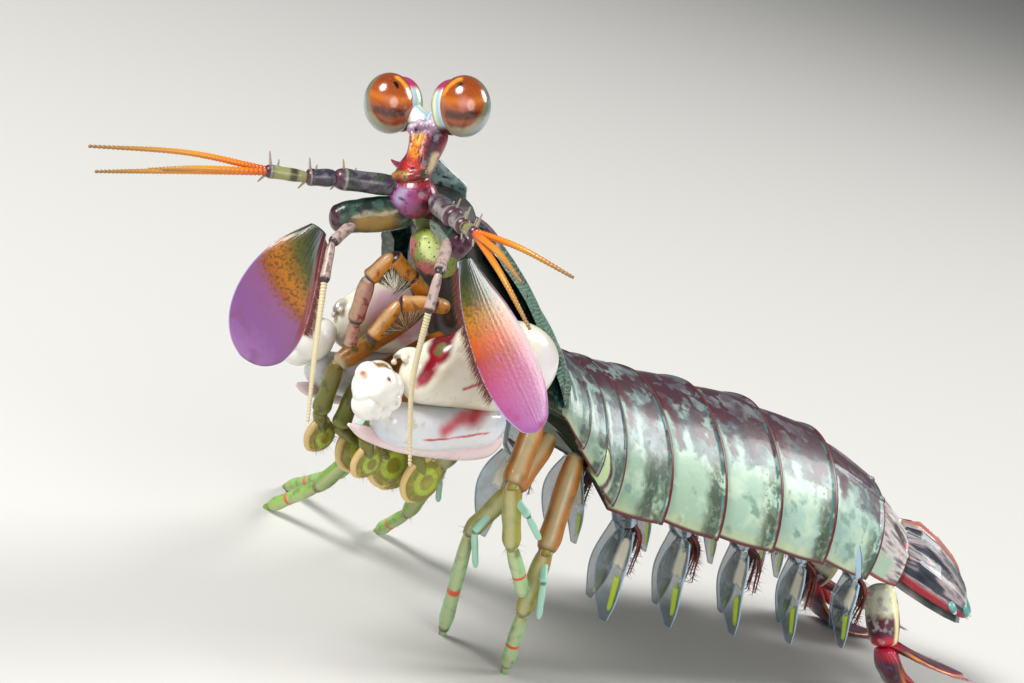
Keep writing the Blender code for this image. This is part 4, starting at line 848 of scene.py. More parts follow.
print("rostral plate faces:", len(rostral.data.polygons))

# %% [markdown]
# ## The eyes
# Each eye is a large clear ball on a stalk. Under the glassy outer layer lie thousands of narrow tubes, so
# the eye looks amber with one small dark spot, the false pupil, where the tubes point at us. The clear rim
# lies outside that amber; its grey-green is partly painted reflection, where the clear layer is seen edge-on
# from the front. The ball is a primitive sphere, stretched, cut off where the stalk holds it and closed with
# a bevelled edge.

# %% Shape the eyes
EYES = {"right": np.array((-0.3, -19.2, 43.6)), "left": np.array((5.3, -17.2, 45.5))}
EYE_AXES = {"right": unit(np.array((0.05, -1.0, -0.04))), "left": unit(np.array((0.92, 0.03, 0.38)))}
EYE_RADII = (2.0, 1.9, 2.25)
EYE_RIM = -0.30


def eye_axes(side_name):
    outward = EYE_AXES[side_name]
    tall = unit(HEAD_UP - outward * np.dot(HEAD_UP, outward))
    return outward, tall, np.cross(outward, tall)


def cornea(side_name):
    outward, tall, deep = eye_axes(side_name)
    bpy.ops.object.select_all(action="DESELECT")
    bpy.ops.mesh.primitive_uv_sphere_add(segments=96, ring_count=64, radius=1.0)
    piece = bpy.context.object
    piece.name = f"cornea_{side_name}"
    bpy.ops.object.mode_set(mode="EDIT")
    bpy.ops.mesh.select_all(action="SELECT")
    bpy.ops.mesh.bisect(plane_co=(0, 0, EYE_RIM), plane_no=(0, 0, -1), use_fill=True, clear_outer=True)
    bpy.ops.mesh.inset(thickness=0.06, depth=0.03)
    bpy.ops.mesh.select_all(action="SELECT")
    bpy.ops.mesh.normals_make_consistent(inside=False)
    bpy.ops.object.mode_set(mode="OBJECT")
    unit_points = np.array([vert.co for vert in piece.data.vertices])
    points = EYES[side_name] + unit_points[:, :1] * deep * EYE_RADII[1] \
        + unit_points[:, 1:2] * tall * EYE_RADII[2] + unit_points[:, 2:] * outward * EYE_RADII[0]
    piece.data.vertices.foreach_set("co", metres(points).ravel())
    piece.data.uv_layers[0].name = "Lie"
    bpy.ops.object.mode_set(mode="EDIT")
    bpy.ops.mesh.select_all(action="SELECT")
    bpy.ops.mesh.normals_make_consistent(inside=False)
    bpy.ops.object.mode_set(mode="OBJECT")
    bpy.ops.object.shade_smooth()
    return piece


# %% Paint the eyes
PUPILS = {"right": (0.6, -19.9, 45.2), "left": (5.6, -18.5, 46.9)}
# The way that the painted pupil and bands of both eyes face
FACING = unit(np.array((0.686, -0.686, 0.242)))
for side_name in ("right", "left"):
    outward, tall, deep = eye_axes(side_name)
    centre = EYES[side_name]
    inward = unit(EYES["left" if side_name == "right" else "right"] - centre)
    flank = unit(inward - FACING * np.dot(inward, FACING))
    upward = unit(np.cross(FACING, flank) if side_name == "right" else np.cross(flank, FACING))

    def eye_at(medial, up, out=0.0):
        return centre + flank * medial + upward * up + FACING * (out + 1.6)

    paint = Finish(f"Glassy_cornea_{side_name}", roughness=0.2, coat=0.5, shake=0.25, shake_size=0.5)
    paint.shader.inputs["Coat Roughness"].default_value = 0.06
    tree = paint.tree
    gap = add(tree, "VectorMath", {"operation": "SUBTRACT", 1: metres(eye_at(0.25, 0.3, -0.4))},
              {0: paint.shaken}).outputs[0]
    across = add(tree, "VectorMath", {"operation": "DOT_PRODUCT", 1: flank / MM}, {0: gap}).outputs[1]
    above = add(tree, "VectorMath", {"operation": "DOT_PRODUCT", 1: upward / MM}, {0: gap}).outputs[1]
    across2 = add(tree, "Math", {"operation": "MULTIPLY"}, {0: across, 1: across}).outputs[0]
    above2 = add(tree, "Math", {"operation": "MULTIPLY"}, {0: above, 1: above}).outputs[0]
    oval = add(tree, "Math", {"operation": "MULTIPLY_ADD", 1: 0.72}, {0: above2, 2: across2}).outputs[0]
    arc = add(tree, "Math", {"operation": "MULTIPLY_ADD", 1: -0.15}, {0: across2, 2: above}).outputs[0]
    # The rim outside the amber: the clear layer's own grey-green with painted reflection where it is seen
    # edge-on from the front, paler below and blue-grey at the outer edge.
    clear = painted(tree, "#6E7459", [
        (band(tree, above, -9.0, -1.3, 0.5), "#9C957A"),
        (band(tree, oval, 4.1, 99.0, 0.35), "#8E9C9E"),
    ])
    rows_of_lenses = add(tree, "TexNoise", {"Scale": 1 / (0.16 * MM), "Detail": 2.0},
                         {"Vector": paint.place}).outputs["Fac"]
    amber = painted(tree, "#984614", [
        (band(tree, arc, 0.75, 9.0, 0.5), "#83360C"),
        (band(tree, arc, -0.45, 0.05, 0.28), "#BE6820"),
        (band(tree, arc, -1.45, -0.85, 0.18, band(tree, across, -1.4, 1.1, 0.3)), "#451A0E"),
        (band(tree, arc, -3.4, -1.7, 0.2), "#7E3E1E"),
        (add(tree, "MapRange", {1: 0.55, 2: 0.75, 4: 0.35}, {0: rows_of_lenses}).outputs[0], "#B87044"),
    ])
    pupil = np.array(PUPILS[side_name])
    colour = painted(tree, clear, [
        (band(tree, oval, -1.0, 2.95, 0.45), amber),
        (paint.near(eye_at(0.5, 1.85, -0.6), eye_at(1.5, 0.75, -0.6), 0.24, 0.16, 0.9), "#E8962A"),
        (paint.near(pupil + upward * 0.22 - flank * 0.1, pupil - upward * 0.25 + flank * 0.12, 0.15, 0.05),
         "#0C0706"),
        (paint.near(eye_at(0.0, 0.1, 0.4), eye_at(0.0, 0.0, 0.4), 0.4, 0.35,
                    0.5 if side_name == "left" else 0.15), "#C99090"),
    ])
    finished(cornea(side_name), paint.wear(colour, 0.12, 0.006), "eye", f"eye_{side_name}")
print("eyes painted")

# %% [markdown]
# The stalk ends in a cup that holds the ball. It is banded in white, blue, yellow and green, dark red
# below, with a magenta upper edge. The cup is a skin with rings that follow the rim.

# %% The eyestalks
for side_name in ("right", "left"):
    outward, tall, deep = eye_axes(side_name)
    face = EYES[side_name] + outward * (EYE_RIM * EYE_RADII[0] - 0.3)
    cup = ball("cup", face - outward * 0.3, (outward, deep, tall), (1.3, 1.8, 2.05), 72, 48)
    stem = tube("stem", [face - outward * 0.5, (face + NECK_TOP) / 2 - outward * 0.15,
                         NECK_TOP + HEAD_UP * 0.1],
                [1.0, 0.85, 0.75], hint=deep, sides=40, rows=30)
    stalk = joined(f"eyestalk_form_{side_name}", [cup, stem])
    paint = Finish(f"Banded_stalk_{side_name}", roughness=0.25, coat=0.6, shake=0.2)
    tree = paint.tree
    gap = add(tree, "VectorMath", {"operation": "SUBTRACT", 1: metres(face)}, {0: paint.shaken}).outputs[0]
    depth = add(tree, "VectorMath", {"operation": "DOT_PRODUCT", 1: -outward / MM}, {0: gap}).outputs[1]
    above = add(tree, "VectorMath", {"operation": "DOT_PRODUCT", 1: tall / MM}, {0: gap}).outputs[1]
    colour = add(tree, "ValToRGB", {"stops": [(0.0, "#E9F0F0"), (0.16, "#8FB8C8"), (0.3, "#E6E3B0"),
                                                        (0.45, "#7FA08A"), (0.6, "#E4E6E2"),
                                                        (0.8, "#8A93A8")]},
                 {0: add(tree, "MapRange", {1: -0.3, 2: 2.0}, {0: depth}).outputs[0]}).outputs[0]
    colour = painted(tree, colour, [
        (band(tree, above, -9.0, -1.5, 0.2), "#4A1016"),
        (band(tree, above, 1.15, 9.0, 0.25), "#A8255C"),
        (band(tree, depth, 1.5, 1.8, 0.1), "#B9D4E4"),
    ])
    finished(stalk, paint.wear(colour, 0.3, 0.02), "eyestalk", f"eyestalk_{side_name}")
print("eyestalks painted")

# %% [markdown]
# ## Jointed limbs
# Legs and feelers are rows of stiff tubes with narrow joints between them. Each segment swells just before
# its far end, where the collar of the joint sits. The segments overlap a little, so no gap opens at a bend.

# %% A limb of segments
# Widths along one segment, as shares of its radius
SEGMENT = (0.60, 0.84, 0.95, 0.97, 0.96, 1.0, 1.07, 0.76)


def limb(name, joints, radii, hint=(1, 0, 0), sides=24, rows=34, tip=0.5, first=0):
    """Stiff segments from joint to joint, each narrowing towards the width of the next."""
    joints = np.asarray(joints, float)
    segments = []
    for k, radius in enumerate(radii):
        start, end = joints[k], joints[k + 1]
        ahead = unit(end - start)
        shrink = radii[k + 1] / radius if k + 1 < len(radii) else tip / SEGMENT[-1]
        shape = [radius * part * (1 + (min(shrink, 1.0) - 1) * max(0.0, i / (len(SEGMENT) - 1) - 0.3))
                 for i, part in enumerate(SEGMENT)]
        if k + 1 == len(radii):
            shape[-1] = radius * tip
        segments.append(tube(f"{name}_{k}", [start - ahead * radius * 0.3, start + (end - start) * 0.5,
                                             end + ahead * radius * 0.2],
                             shape, hint=hint, sides=sides, rows=rows, number=first + k))
    return segments


def ringed(pitch, length, depth):
    """A relief of fine rings, as on a feeler, `pitch` mm apart on a piece of the given length."""
    return lambda around, share, points: depth * np.abs(np.sin(np.pi * share * length / pitch))


def whip(name, points, radii, pitch=0.3, number=0.0):
    """A feeler made of many short rings."""
    length = np.linalg.norm(np.diff(curve(points, np.linspace(0, 1, 40)), axis=0), axis=1).sum()
    steady = (0, 0, 1) if abs(unit(np.asarray(points[-1]) - points[0])[2]) < 0.8 else (1, 0, 0)
    return tube(name, points, radii, hint=steady, sides=8, rows=int(length / pitch * 5), number=number,
                relief=ringed(pitch, length, radii[0] * 0.28), blunt=(0.3, 0.3))


def thorns(name, roots, tips, radius=0.3, number=0.0):
    return [tube(name, [root, (np.asarray(root) + tip) / 2, tip], [radius, radius * 0.6, 0.05], sides=8,
                 rows=10,
                 hint=(0.3, 1, 0.2), number=number) for root, tip in zip(roots, tips)]


print("limb helpers are ready")

# %% [markdown]
# ## The antennules
# The first feelers stand out to both sides on three stout segments with pale thorns at their joints. Each
# ends in three whips of many tiny rings, bright orange near the base and yellow towards the tip.

# %% Shape and paint the antennules
ANTENNULES = {
    "right": {
        "joints": [(3.3, -19.0, 38.4), (1.4, -23.6, 37.9), (0.6, -25.5, 37.5), (-0.8, -28.2, 37.2)],
        "whips": [[(-0.8, -28.1, 37.3), (-3.3, -33.5, 37.1), (-6.1, -39.7, 35.9)],
                  [(-0.8, -28.1, 37.1), (-3.2, -33.8, 35.7), (-5.1, -39.3, 34.4)],
                  [(-0.6, -28.1, 37.2), (-2.2, -32.6, 36.4), (-4.1, -35.7, 35.3)]],
    },
    "left": {
        "joints": [(6.2, -17.9, 38.4), (10.8, -19.8, 38.6), (13.5, -21.3, 38.9), (16.3, -22.7, 39.3)],
        "whips": [[(16.2, -22.6, 39.4), (20.9, -22.7, 40.0), (25.0, -21.2, 39.6)],
                  [(16.2, -22.6, 39.2), (21.4, -24.2, 38.2), (25.2, -23.8, 35.8)],
                  [(16.2, -22.7, 39.3), (20.6, -24.2, 39.4), (24.4, -25.1, 38.7)]],
    },
}
paint = Finish("Antennule_shell", roughness=0.35, coat=0.35, shake=0.3, shake_size=0.5)
tree = paint.tree
turn_of = add(tree, "Math", {"operation": "FRACT"}, {0: paint.along}).outputs[0]
colour = painted(tree, "#332A38", [
    (paint.mottle(0.7, 0.45, 0.6), "#5E5662"),
    (paint.mottle(0.5, 0.52, 0.62, seed=0.03), "#3C4A36"),
    # A pale mottled stripe along one side of each segment is a painted highlight.
    (band(tree, paint.around, 0.16, 0.34, 0.08, paint.mottle(0.9, 0.38, 0.55, seed=0.06), 0.8), "#A8A09E"),
    (band(tree, paint.along, 1.9, 2.8, 0.08), "#8C8C58"),
    (band(tree, paint.along, 2.25, 2.42, 0.05), "#3F3A28"),
    (band(tree, turn_of, 0.88, 1.1, 0.03), "#4A2434"),
    (band(tree, turn_of, 0.82, 0.85, 0.02, strength=0.7), "#A39A94"),
    (band(tree, paint.along, 5.0, 6.5, 0.02), "#9E9480"),
])
antennule_paint = paint.wear(colour, 0.25, 0.04)
paint = Finish("Orange_whip", roughness=0.35, coat=0.3, shake=0.1)
tree = paint.tree
colour = add(tree, "ValToRGB", {"stops": [(0.0, "#6A2014"), (0.03, "#C9560E"), (0.2, "#DE7A0E"),
                                                    (0.5, "#D08A1C"), (0.8, "#A8742A"), (1.0, "#8A6436")]},
             {0: paint.along}).outputs[0]
whip_paint = paint.wear(colour, 0.2, 0.01)
for side_name, plan in ANTENNULES.items():
    joints = [np.array(joint) for joint in plan["joints"]]
    parts = limb("antennule", joints, [0.84, 0.7, 0.5], hint=(0, 0, 1), rows=44, tip=0.7)
    roots, tips = [], []
    for start, end in zip(joints, joints[1:]):
        for lift, lean, at in ((1.5, 0.5, 0.86), (1.0, 0.1, 0.72), (-0.9, 0.6, 0.9)):
            roots.append(start + (end - start) * at)
            tips.append(roots[-1] + np.array((0, 0, lift)) + unit(end - start) * lean)
    parts += thorns("thorn", roots, tips, 0.17, number=5.5)
    body = joined(f"antennule_{side_name}_stem", parts)
    finished(body, antennule_paint, "antennule", f"antennule_{side_name}")
    whips = joined(f"antennule_{side_name}_whips",
                   [whip("whip", points, [0.21, 0.19, 0.15, 0.07]) for points in plan["whips"]])
    finished(whips, whip_paint, "antennule")
print("antennules painted")

# %% [markdown]
# ## The antennae
# The second feelers hang from a broad plate-like base, dark green with a gold patch and a pale lower edge.
# A thin stalk of two segments carries one cream whip of tiny beads.

# %% Shape and paint the antennae
ANTENNAE = {
    "right": {
        "base": [(4.0, -17.8, 36.9), (2.8, -20.4, 35.9), (1.5, -23.1, 34.8)],
        "stalk": [(2.6, -21.6, 35.2), (3.4, -23.8, 33.6), (4.9, -24.7, 31.1)],
        "whip": [(4.9, -24.7, 31.1), (7.0, -25.4, 26.4), (8.7, -25.6, 21.7)],
        "scale": [(1.5, -23.7, 34.1), (1.5, -25.2, 31.2), (1.8, -26.2, 27.6), (2.8, -26.4, 23.6)],
        "across": (0.62, 0.725, 0.3),
    },
    "left": {
        "base": [(6.4, -16.9, 36.8), (9.4, -18.4, 37.2), (12.4, -19.9, 37.0)],
        "stalk": [(11.0, -20.0, 37.0), (14.3, -23.0, 35.5), (15.0, -23.5, 32.9)],
        "whip": [(15.0, -23.5, 32.9), (15.1, -23.0, 27.6), (16.1, -21.8, 21.8)],
        "scale": [(13.3, -20.2, 36.5), (15.6, -19.2, 33.8), (18.1, -17.6, 30.6), (20.8, -15.4, 26.8)],
        "across": (-0.12, 1.0, 0.2),
    },
}
paint = Finish("Antenna_base_shell", roughness=0.3, coat=0.5, shake=0.3, shake_size=0.6)
tree = paint.tree
colour = painted(tree, "#16281F", [
    (paint.mottle(1.0, 0.45, 0.6), "#2F5044"),
    (band(tree, paint.loose_around, 0.62, 0.80, 0.06, band(tree, paint.along, 0.25, 0.75, 0.1)), "#8E6C1E"),
    (band(tree, paint.around, 0.50, 0.56, 0.02), "#B9B0C8"),
    (band(tree, paint.around, 0.22, 0.27, 0.02, strength=0.7), "#7F968A"),
    (band(tree, paint.along, 0.90, 1.1, 0.05), "#4A1A30"),
])
base_paint = paint.wear(colour, 0.25, 0.04)
paint = Finish("Cream_whip", roughness=0.4, coat=0.2, shake=0.2, shake_size=0.5)
tree = paint.tree
turn_of = add(tree, "Math", {"operation": "FRACT"}, {0: paint.along}).outputs[0]
colour = painted(tree, "#CDBF98", [
    (band(tree, paint.along, -0.5, 1.98, 0.02), "#B09A90"),
    (band(tree, paint.along, -0.5, 1.98, 0.02, paint.mottle(0.4, 0.50, 0.62), 0.7), "#5E484C"),
    (band(tree, turn_of, 0.88, 1.1, 0.03, band(tree, paint.along, -0.5, 2.1, 0.02)), "#3B2A2C"),
])
stalk_paint = paint.wear(colour, 0.2, 0.02)
for side_name, plan in ANTENNAE.items():
    base = tube(f"antenna_{side_name}_base", plan["base"], [1.2, 1.32, 1.35, 1.25, 0.95],
                [1.0, 1.12, 1.1, 1.0, 0.75],
                hint=(0, 0, 1), sides=60, rows=60, power=1.7,
                relief=lambda around, share, points: 0.08 * rough(points, 0.8))
    finished(base, base_paint, "antenna", f"antenna_{side_name}")
    parts = limb("stalk", plan["stalk"], [0.46, 0.36], hint=(0, 1, 0), rows=30, tip=0.8)
    parts.append(whip("whip", plan["whip"], [0.2, 0.17, 0.14, 0.08], 0.24, number=2.0))
    stalk = joined(f"antenna_{side_name}_stalk", parts)
    finished(stalk, stalk_paint, "antenna")
print("antennae painted")

# %% [markdown]
# ## The antennal scales
# Beside each antenna hangs a large thin oval scale, a rudder for swimming. It goes from green through
# gold-orange to lilac or pink, with a pale raised rim, and its inner edge carries a dense hair fringe.
# The blade is a very flat tube with a bead along its edge; the fringe is laid in rows along that edge.

# %% Shape the scales
SCALE_HALF_WIDTHS = [0.6, 1.2, 1.8, 2.3, 2.65, 2.85, 2.8, 2.3, 1.1]
FRINGE_HAIRS = 300
SCALE_THICKNESS = [0.42, 0.36, 0.3, 0.26, 0.24, 0.22, 0.2, 0.2, 0.18]


def blade_relief(around, share, points):
    """A bead on the rim and faint ribs along the blade."""
    out = np.abs(np.cos(2 * np.pi * around))
    return 0.05 * np.exp(-((out - 0.985) / 0.012) ** 2) + 0.007 * np.cos(34 * out) * (out < 0.9)


def scale_finish(name, top, rim):
    """Thin chitin, coloured by pigment under a clear skin; a fine grain of pigment cells shows."""
    paint = Finish(name, roughness=0.34, coat=0.3, shake=0.25, shake_size=0.3, scatter=0.1)
    tree = paint.tree
    edge = paint.rim_side()
    slant = add(tree, "Math", {"operation": "MULTIPLY_ADD", 1: top["slant"]},
                {0: edge, 2: paint.loose_along}).outputs[0]
    colour = add(tree, "ValToRGB", {"stops": top["stops"]}, {0: slant}).outputs[0]
    layers = [(band(tree, slant, 0.05, top["grain"], 0.08, paint.mottle(0.22, 0.50, 0.62, detail=1.0), 0.6),
               "#3E2A0C"),
              (band(tree, slant, 0.62, 1.4, 0.08, paint.mottle(1.4, 0.5, 0.75, seed=0.02)), top["cloud"])]
    layers.append((band(tree, edge, 0.84, 1.1, 0.05, band(tree, paint.along, -0.1, 0.82, 0.08)), "#7E2B30"))
    layers += [(band(tree, edge, 0.975, 1.1, 0.01, strength=0.9), rim),
               (band(tree, edge, -1.1, -0.975, 0.01, strength=0.9), rim)]
    return paint.wear(painted(tree, colour, layers), 0.25, 0.015)


SCALE_SHADES = {
    "right": {"slant": -0.16, "grain": 0.56, "cloud": "#7E4C7A",
              "stops": [(0.0, "#2C2A2C"), (0.10, "#22381C"), (0.26, "#4E4E14"), (0.42, "#A8660F"),
                        (0.52, "#8E4E22"), (0.60, "#83507A"), (0.8, "#7C4E84"), (1.0, "#8C6094")]},
    "left": {"slant": 0.0, "grain": 0.46, "cloud": "#A8487C",
             "stops": [(0.0, "#2E3A30"), (0.12, "#20361A"), (0.26, "#4E4E12"), (0.38, "#B0740F"),
                       (0.50, "#C4560F"), (0.60, "#A83C26"), (0.72, "#B04A78"), (1.0, "#A868A8")]},
}
paint = Finish("Fringe_hair", roughness=0.5, coat=0.0)
fringe_paint = paint.wear("#7A3E2E", 0.5, 0.0)
for side_name, plan in ANTENNAE.items():
    blade = tube(f"scale_{side_name}_blade", plan["scale"], SCALE_HALF_WIDTHS, SCALE_THICKNESS,
                 hint=plan["across"],
                 sides=120, rows=130, relief=blade_relief, blunt=(0.4, 3.2))
    material = scale_finish(f"Oval_scale_{side_name}", SCALE_SHADES[side_name], "#B9B4E0")
    finished(blade, material, "antennal_scale", f"antennal_scale_{side_name}")
    share = np.tile(np.linspace(0.04, 0.76, FRINGE_HAIRS), 2)
    centre, ahead, side, up = frames(plan["scale"], share, plan["across"])
    edge_sign = 1 if side_name == "right" else -1
    reach = level(SCALE_HALF_WIDTHS, share)[:, None]
    roots = centre + side * reach * 0.93 * edge_sign
    spread = np.repeat((0.12, -0.12), FRINGE_HAIRS)[:, None]
    tips = roots + side * edge_sign * 0.95 + ahead * 0.5 + up * spread
    fringe = hairs(f"scale_{side_name}_fringe", roots, tips, 0.034, seed=3)
    finished(fringe, fringe_paint, "antennal_scale")
print("scales painted")

# %% [markdown]
# ## The striking claws
# These are the animal's hammers. The upper arm, the merus, holds the muscle; the short lobed carpus turns
# it; the long propodus folds below, with the finger, or dactyl, shut against it. They are thick lime-rich
# shell, smooth and glossy like porcelain, painted white with red marks. The smooth bulging forms are
# skins with broad relief, and the lobed carpus is balls melted together.

# %% Shape the claws
CLAWS = {
    "left": {
        "merus": [(10.9, -6.4, 27.0), (10.9, -9.4, 27.8), (10.5, -14.0, 27.4), (9.9, -19.4, 25.8)],
        "carpus": (9.8, -21.4, 24.9),
        "propodus": [(9.8, -20.6, 22.7), (10.1, -16.5, 22.4), (10.4, -12.5, 22.8), (10.6, -8.8, 23.4)],
        "dactyl": [(10.5, -8.6, 22.4), (10.3, -11.5, 21.2), (10.0, -15.5, 20.9), (9.5, -20.0, 21.3),
                   (9.3, -22.4, 22.0)],
        "ischium": (7.4, -3.6, 26.2),
        "saddle": [(9.3, -15.6, 29.9), (10.8, -17.4, 28.7), (11.4, -18.3, 26.9), (11.3, -18.7, 26.1)],
        "horn": [(9.6, -18.2, 27.6), (9.3, -19.2, 27.7), (9.1, -20.0, 27.3)],
    },
    "right": {
        "merus": [(-2.6, -4.2, 26.4), (-2.3, -8.0, 27.2), (-1.8, -12.6, 26.8), (-1.1, -17.2, 25.5)],
        "carpus": (-1.2, -19.1, 24.3),
        "propodus": [(-1.2, -18.3, 22.2), (-1.5, -14.4, 21.7), (-1.9, -10.4, 22.0), (-2.2, -6.7, 22.6)],
        "dactyl": [(-2.2, -6.5, 21.6), (-1.9, -9.4, 20.4), (-1.5, -13.4, 20.1), (-1.0, -17.6, 20.5),
                   (-0.8, -19.6, 21.0)],
        "ischium": (0.6, -2.6, 25.6),
        "saddle": [(-2.9, -14.0, 28.9), (-2.6, -15.6, 28.0), (-2.4, -16.6, 26.4), (-2.2, -16.9, 25.4)],
        "horn": [(-1.6, -16.2, 27.2), (-1.5, -17.0, 27.3), (-1.4, -17.7, 26.9)],
    },
}
# Lobes of the left carpus: how far from its middle, and their radius
CARPUS_LOBES = [(0.0, 0.0, 0.3, 1.75), (0.2, 0.9, 0.4, 1.25), (0.4, -0.6, -0.9, 1.2), (0.5, 0.5, -1.0, 1.0),
                (-0.2, -0.8, 1.1, 1.0), (0.9, 0.9, -0.3, 0.85), (0.9, -0.6, 0.3, 0.8),
                (0.3, -1.1, -0.2, 0.85),
                (0.8, -0.1, -1.2, 0.7), (-0.5, 0.4, 0.9, 1.2)]


def saddle_relief(plan):
    """A groove under the red saddle, and the lobe that bulges before the wrist."""
    path = curve(plan["saddle"], np.linspace(0, 1, 30))

    def relief(around, share, points):
        gap = np.min(np.linalg.norm(points[:, None] - path[None], axis=2), axis=1)
        return -0.22 * np.exp(-(gap / 0.55) ** 2) + 0.10 * np.exp(-((gap - 1.1) / 0.45) ** 2) \
            + 0.05 * rough(points, 3.0, 2.0)

    return relief


claw_parts = {}
for side_name, plan in CLAWS.items():
    mirror = 1 if side_name == "left" else -1
    merus = tube("merus", plan["merus"], [1.1, 1.8, 2.1, 2.2, 2.2, 2.1, 1.9, 1.6, 1.15],
                 [1.7, 2.6, 3.2, 3.5, 3.5, 3.3, 2.9, 2.3, 1.5], sides=110, rows=110, power=2.15,
                 relief=saddle_relief(plan), blunt=(0.9, 0.9))
    start = np.array(plan["merus"][0])
    ischium = tube("ischium", [start + (curve(plan["merus"], [0.2])[0] - start) * 0.4, plan["ischium"]],
                   [1.3, 1.05], hint=(0, 0, 1), sides=36, rows=24)
    horn = tube("horn", plan["horn"], [0.75, 0.45, 0.1], sides=24, rows=20)
    warts = [ball("wart", np.array(plan["horn"][k]) + lift, np.eye(3), (size,) * 3, 14, 10)
             for k, lift, size in ((0, (0.1, 0.2, 0.55), 0.3), (1, (0.1, 0.1, 0.2), 0.32),
                                   (1, (0.5, -0.3, -0.2), 0.28),
                                   (2, (0.1, 0.15, -0.35), 0.24))]
    claw_parts["merus", side_name] = melted(joined(f"claw_{side_name}_merus",
                                                   [merus, ischium, horn, *warts]), 0.10, 2)
    middle = np.array(plan["carpus"])
    lobes = [ball("lobe", middle + (dx * mirror, dy, dz), np.eye(3), (radius,) * 3, 30, 20)
             for dx, dy, dz, radius in CARPUS_LOBES]
    claw_parts["carpus", side_name] = melted(joined(f"claw_{side_name}_carpus", lobes), 0.08, 2)
    claw_parts["propodus", side_name] = tube(
        f"claw_{side_name}_propodus", plan["propodus"], [1.2, 1.6, 1.8, 1.9, 1.9, 1.8, 1.6, 1.0],
        [1.1, 1.5, 1.7, 1.8, 1.8, 1.8, 1.6, 1.0], sides=90, rows=90, power=2.2, blunt=(0.9, 0.9),
        relief=lambda around, share, points: 0.06 * rough(points, 2.6, 1.0))
    claw_parts["dactyl", side_name] = tube(
        f"claw_{side_name}_dactyl", plan["dactyl"], [0.85, 1.5, 1.35, 1.0, 0.85, 0.7, 0.6, 0.42, 0.12],
        [0.85, 1.4, 1.25, 1.0, 0.9, 0.8, 0.6, 0.42, 0.12], sides=72, rows=90, power=1.8, blunt=(0.9, 0.3))
print("merus faces:", len(claw_parts["merus", "left"].data.polygons))

# %% Paint the claws
CLAW_MARKS = {
    "left": {
        "merus": [((12.3, -13.2, 29.6), (12.6, -11.0, 28.6), 1.6, 1.2, "#EFE8C4"),
                  ((12.7, -7.8, 28.4), (12.9, -8.6, 29.4), 1.0, 0.8, "#E6DEE0"),
                  ((9.3, -15.6, 30.0), (10.9, -17.5, 28.6), 0.85, 0.25, "#6C1220"),
                  ((10.9, -17.5, 28.6), (11.4, -18.6, 26.4), 0.5, 0.2, "#9A1428"),
                  ((11.4, -18.6, 26.5), (11.3, -18.8, 25.9), 0.3, 0.15, "#D21A38"),
                  ((10.7, -17.1, 28.9), (10.8, -17.5, 28.4), 0.36, 0.16, "#6B6A3A"),
                  ((9.3, -15.2, 30.2), (9.6, -15.8, 30.0), 0.3, 0.15, "#4E2A2A"),
                  ((10.2, -14.9, 30.4), (10.9, -14.6, 30.2), 0.2, 0.12, "#3C1A1E"),
                  ((12.9, -12.6, 28.0), (12.2, -15.2, 26.3), 0.14, 0.12, "#B2303E"),
                  ((9.3, -19.0, 27.6), (9.2, -20.0, 27.4), 0.2, 0.2, "#7A6A56")],
        "carpus": [((9.9, -21.3, 27.0), (9.8, -21.8, 27.0), 0.42, 0.25, "#8A6A34"),
                   ((10.3, -21.1, 27.0), (10.2, -21.3, 27.1), 0.2, 0.12, "#3A2A1E"),
                   ((9.9, -23.0, 26.2), (10.0, -22.9, 26.0), 0.22, 0.15, "#B0662C"),
                   ((11.2, -21.5, 26.4), (10.9, -21.6, 26.2), 0.16, 0.12, "#6E4A2A"),
                   ((10.4, -20.6, 26.9), (10.9, -20.6, 26.6), 0.25, 0.2, "#C4B48A")],
        "propodus": [((10.4, -10.9, 24.9), (11.9, -13.2, 24.0), 0.7, 0.6, "#B02E38"),
                     ((11.6, -13.8, 23.9), (11.9, -15.6, 22.9), 0.45, 0.4, "#C8525C"),
                     ((12.4, -10.2, 23.2), (11.9, -17.2, 22.0), 0.09, 0.08, "#C2303E"),
                     ((12.2, -9.6, 24.0), (12.0, -9.0, 23.0), 1.0, 0.5, "#C8CBD8")],
        "dactyl": [((12.2, -10.4, 22.8), (11.4, -16.4, 21.9), 0.12, 0.1, "#C2404E")],
    },
    "right": {
        "merus": [((-1.6, -12.6, 29.8), (-0.4, -9.0, 29.8), 1.2, 0.9, "#EDE8CE"),
                  ((-2.9, -14.0, 29.3), (-2.6, -16.0, 28.2), 0.55, 0.3, "#6E1420"),
                  ((-0.2, -16.8, 24.9), (0.3, -16.7, 25.5), 0.34, 0.15, "#C0182E"),
                  ((0.4, -13.6, 27.6), (0.4, -10.4, 27.4), 1.9, 0.5, "#D9B4C0"),
                  ((0.6, -12.4, 25.8), (0.4, -10.6, 25.2), 0.5, 0.4, "#C8586A"),
                  ((-1.4, -17.0, 27.3), (-1.4, -17.6, 27.0), 0.4, 0.3, "#8A8478")],
        "carpus": [((-1.0, -19.2, 26.6), (-1.2, -19.8, 26.4), 0.5, 0.3, "#9DA09A"),
                   ((-0.7, -19.0, 26.6), (-0.7, -19.0, 26.5), 0.2, 0.1, "#5A564E"),
                   ((-0.6, -20.4, 25.4), (-0.4, -20.5, 25.2), 0.2, 0.12, "#B08A4A"),
                   ((0.0, -18.0, 25.8), (0.1, -18.0, 25.6), 0.16, 0.1, "#6E6A60")],
        "propodus": [((-0.4, -10.2, 23.4), (0.0, -13.0, 22.6), 0.7, 0.5, "#C8525C")],
        "dactyl": [],
    },
}


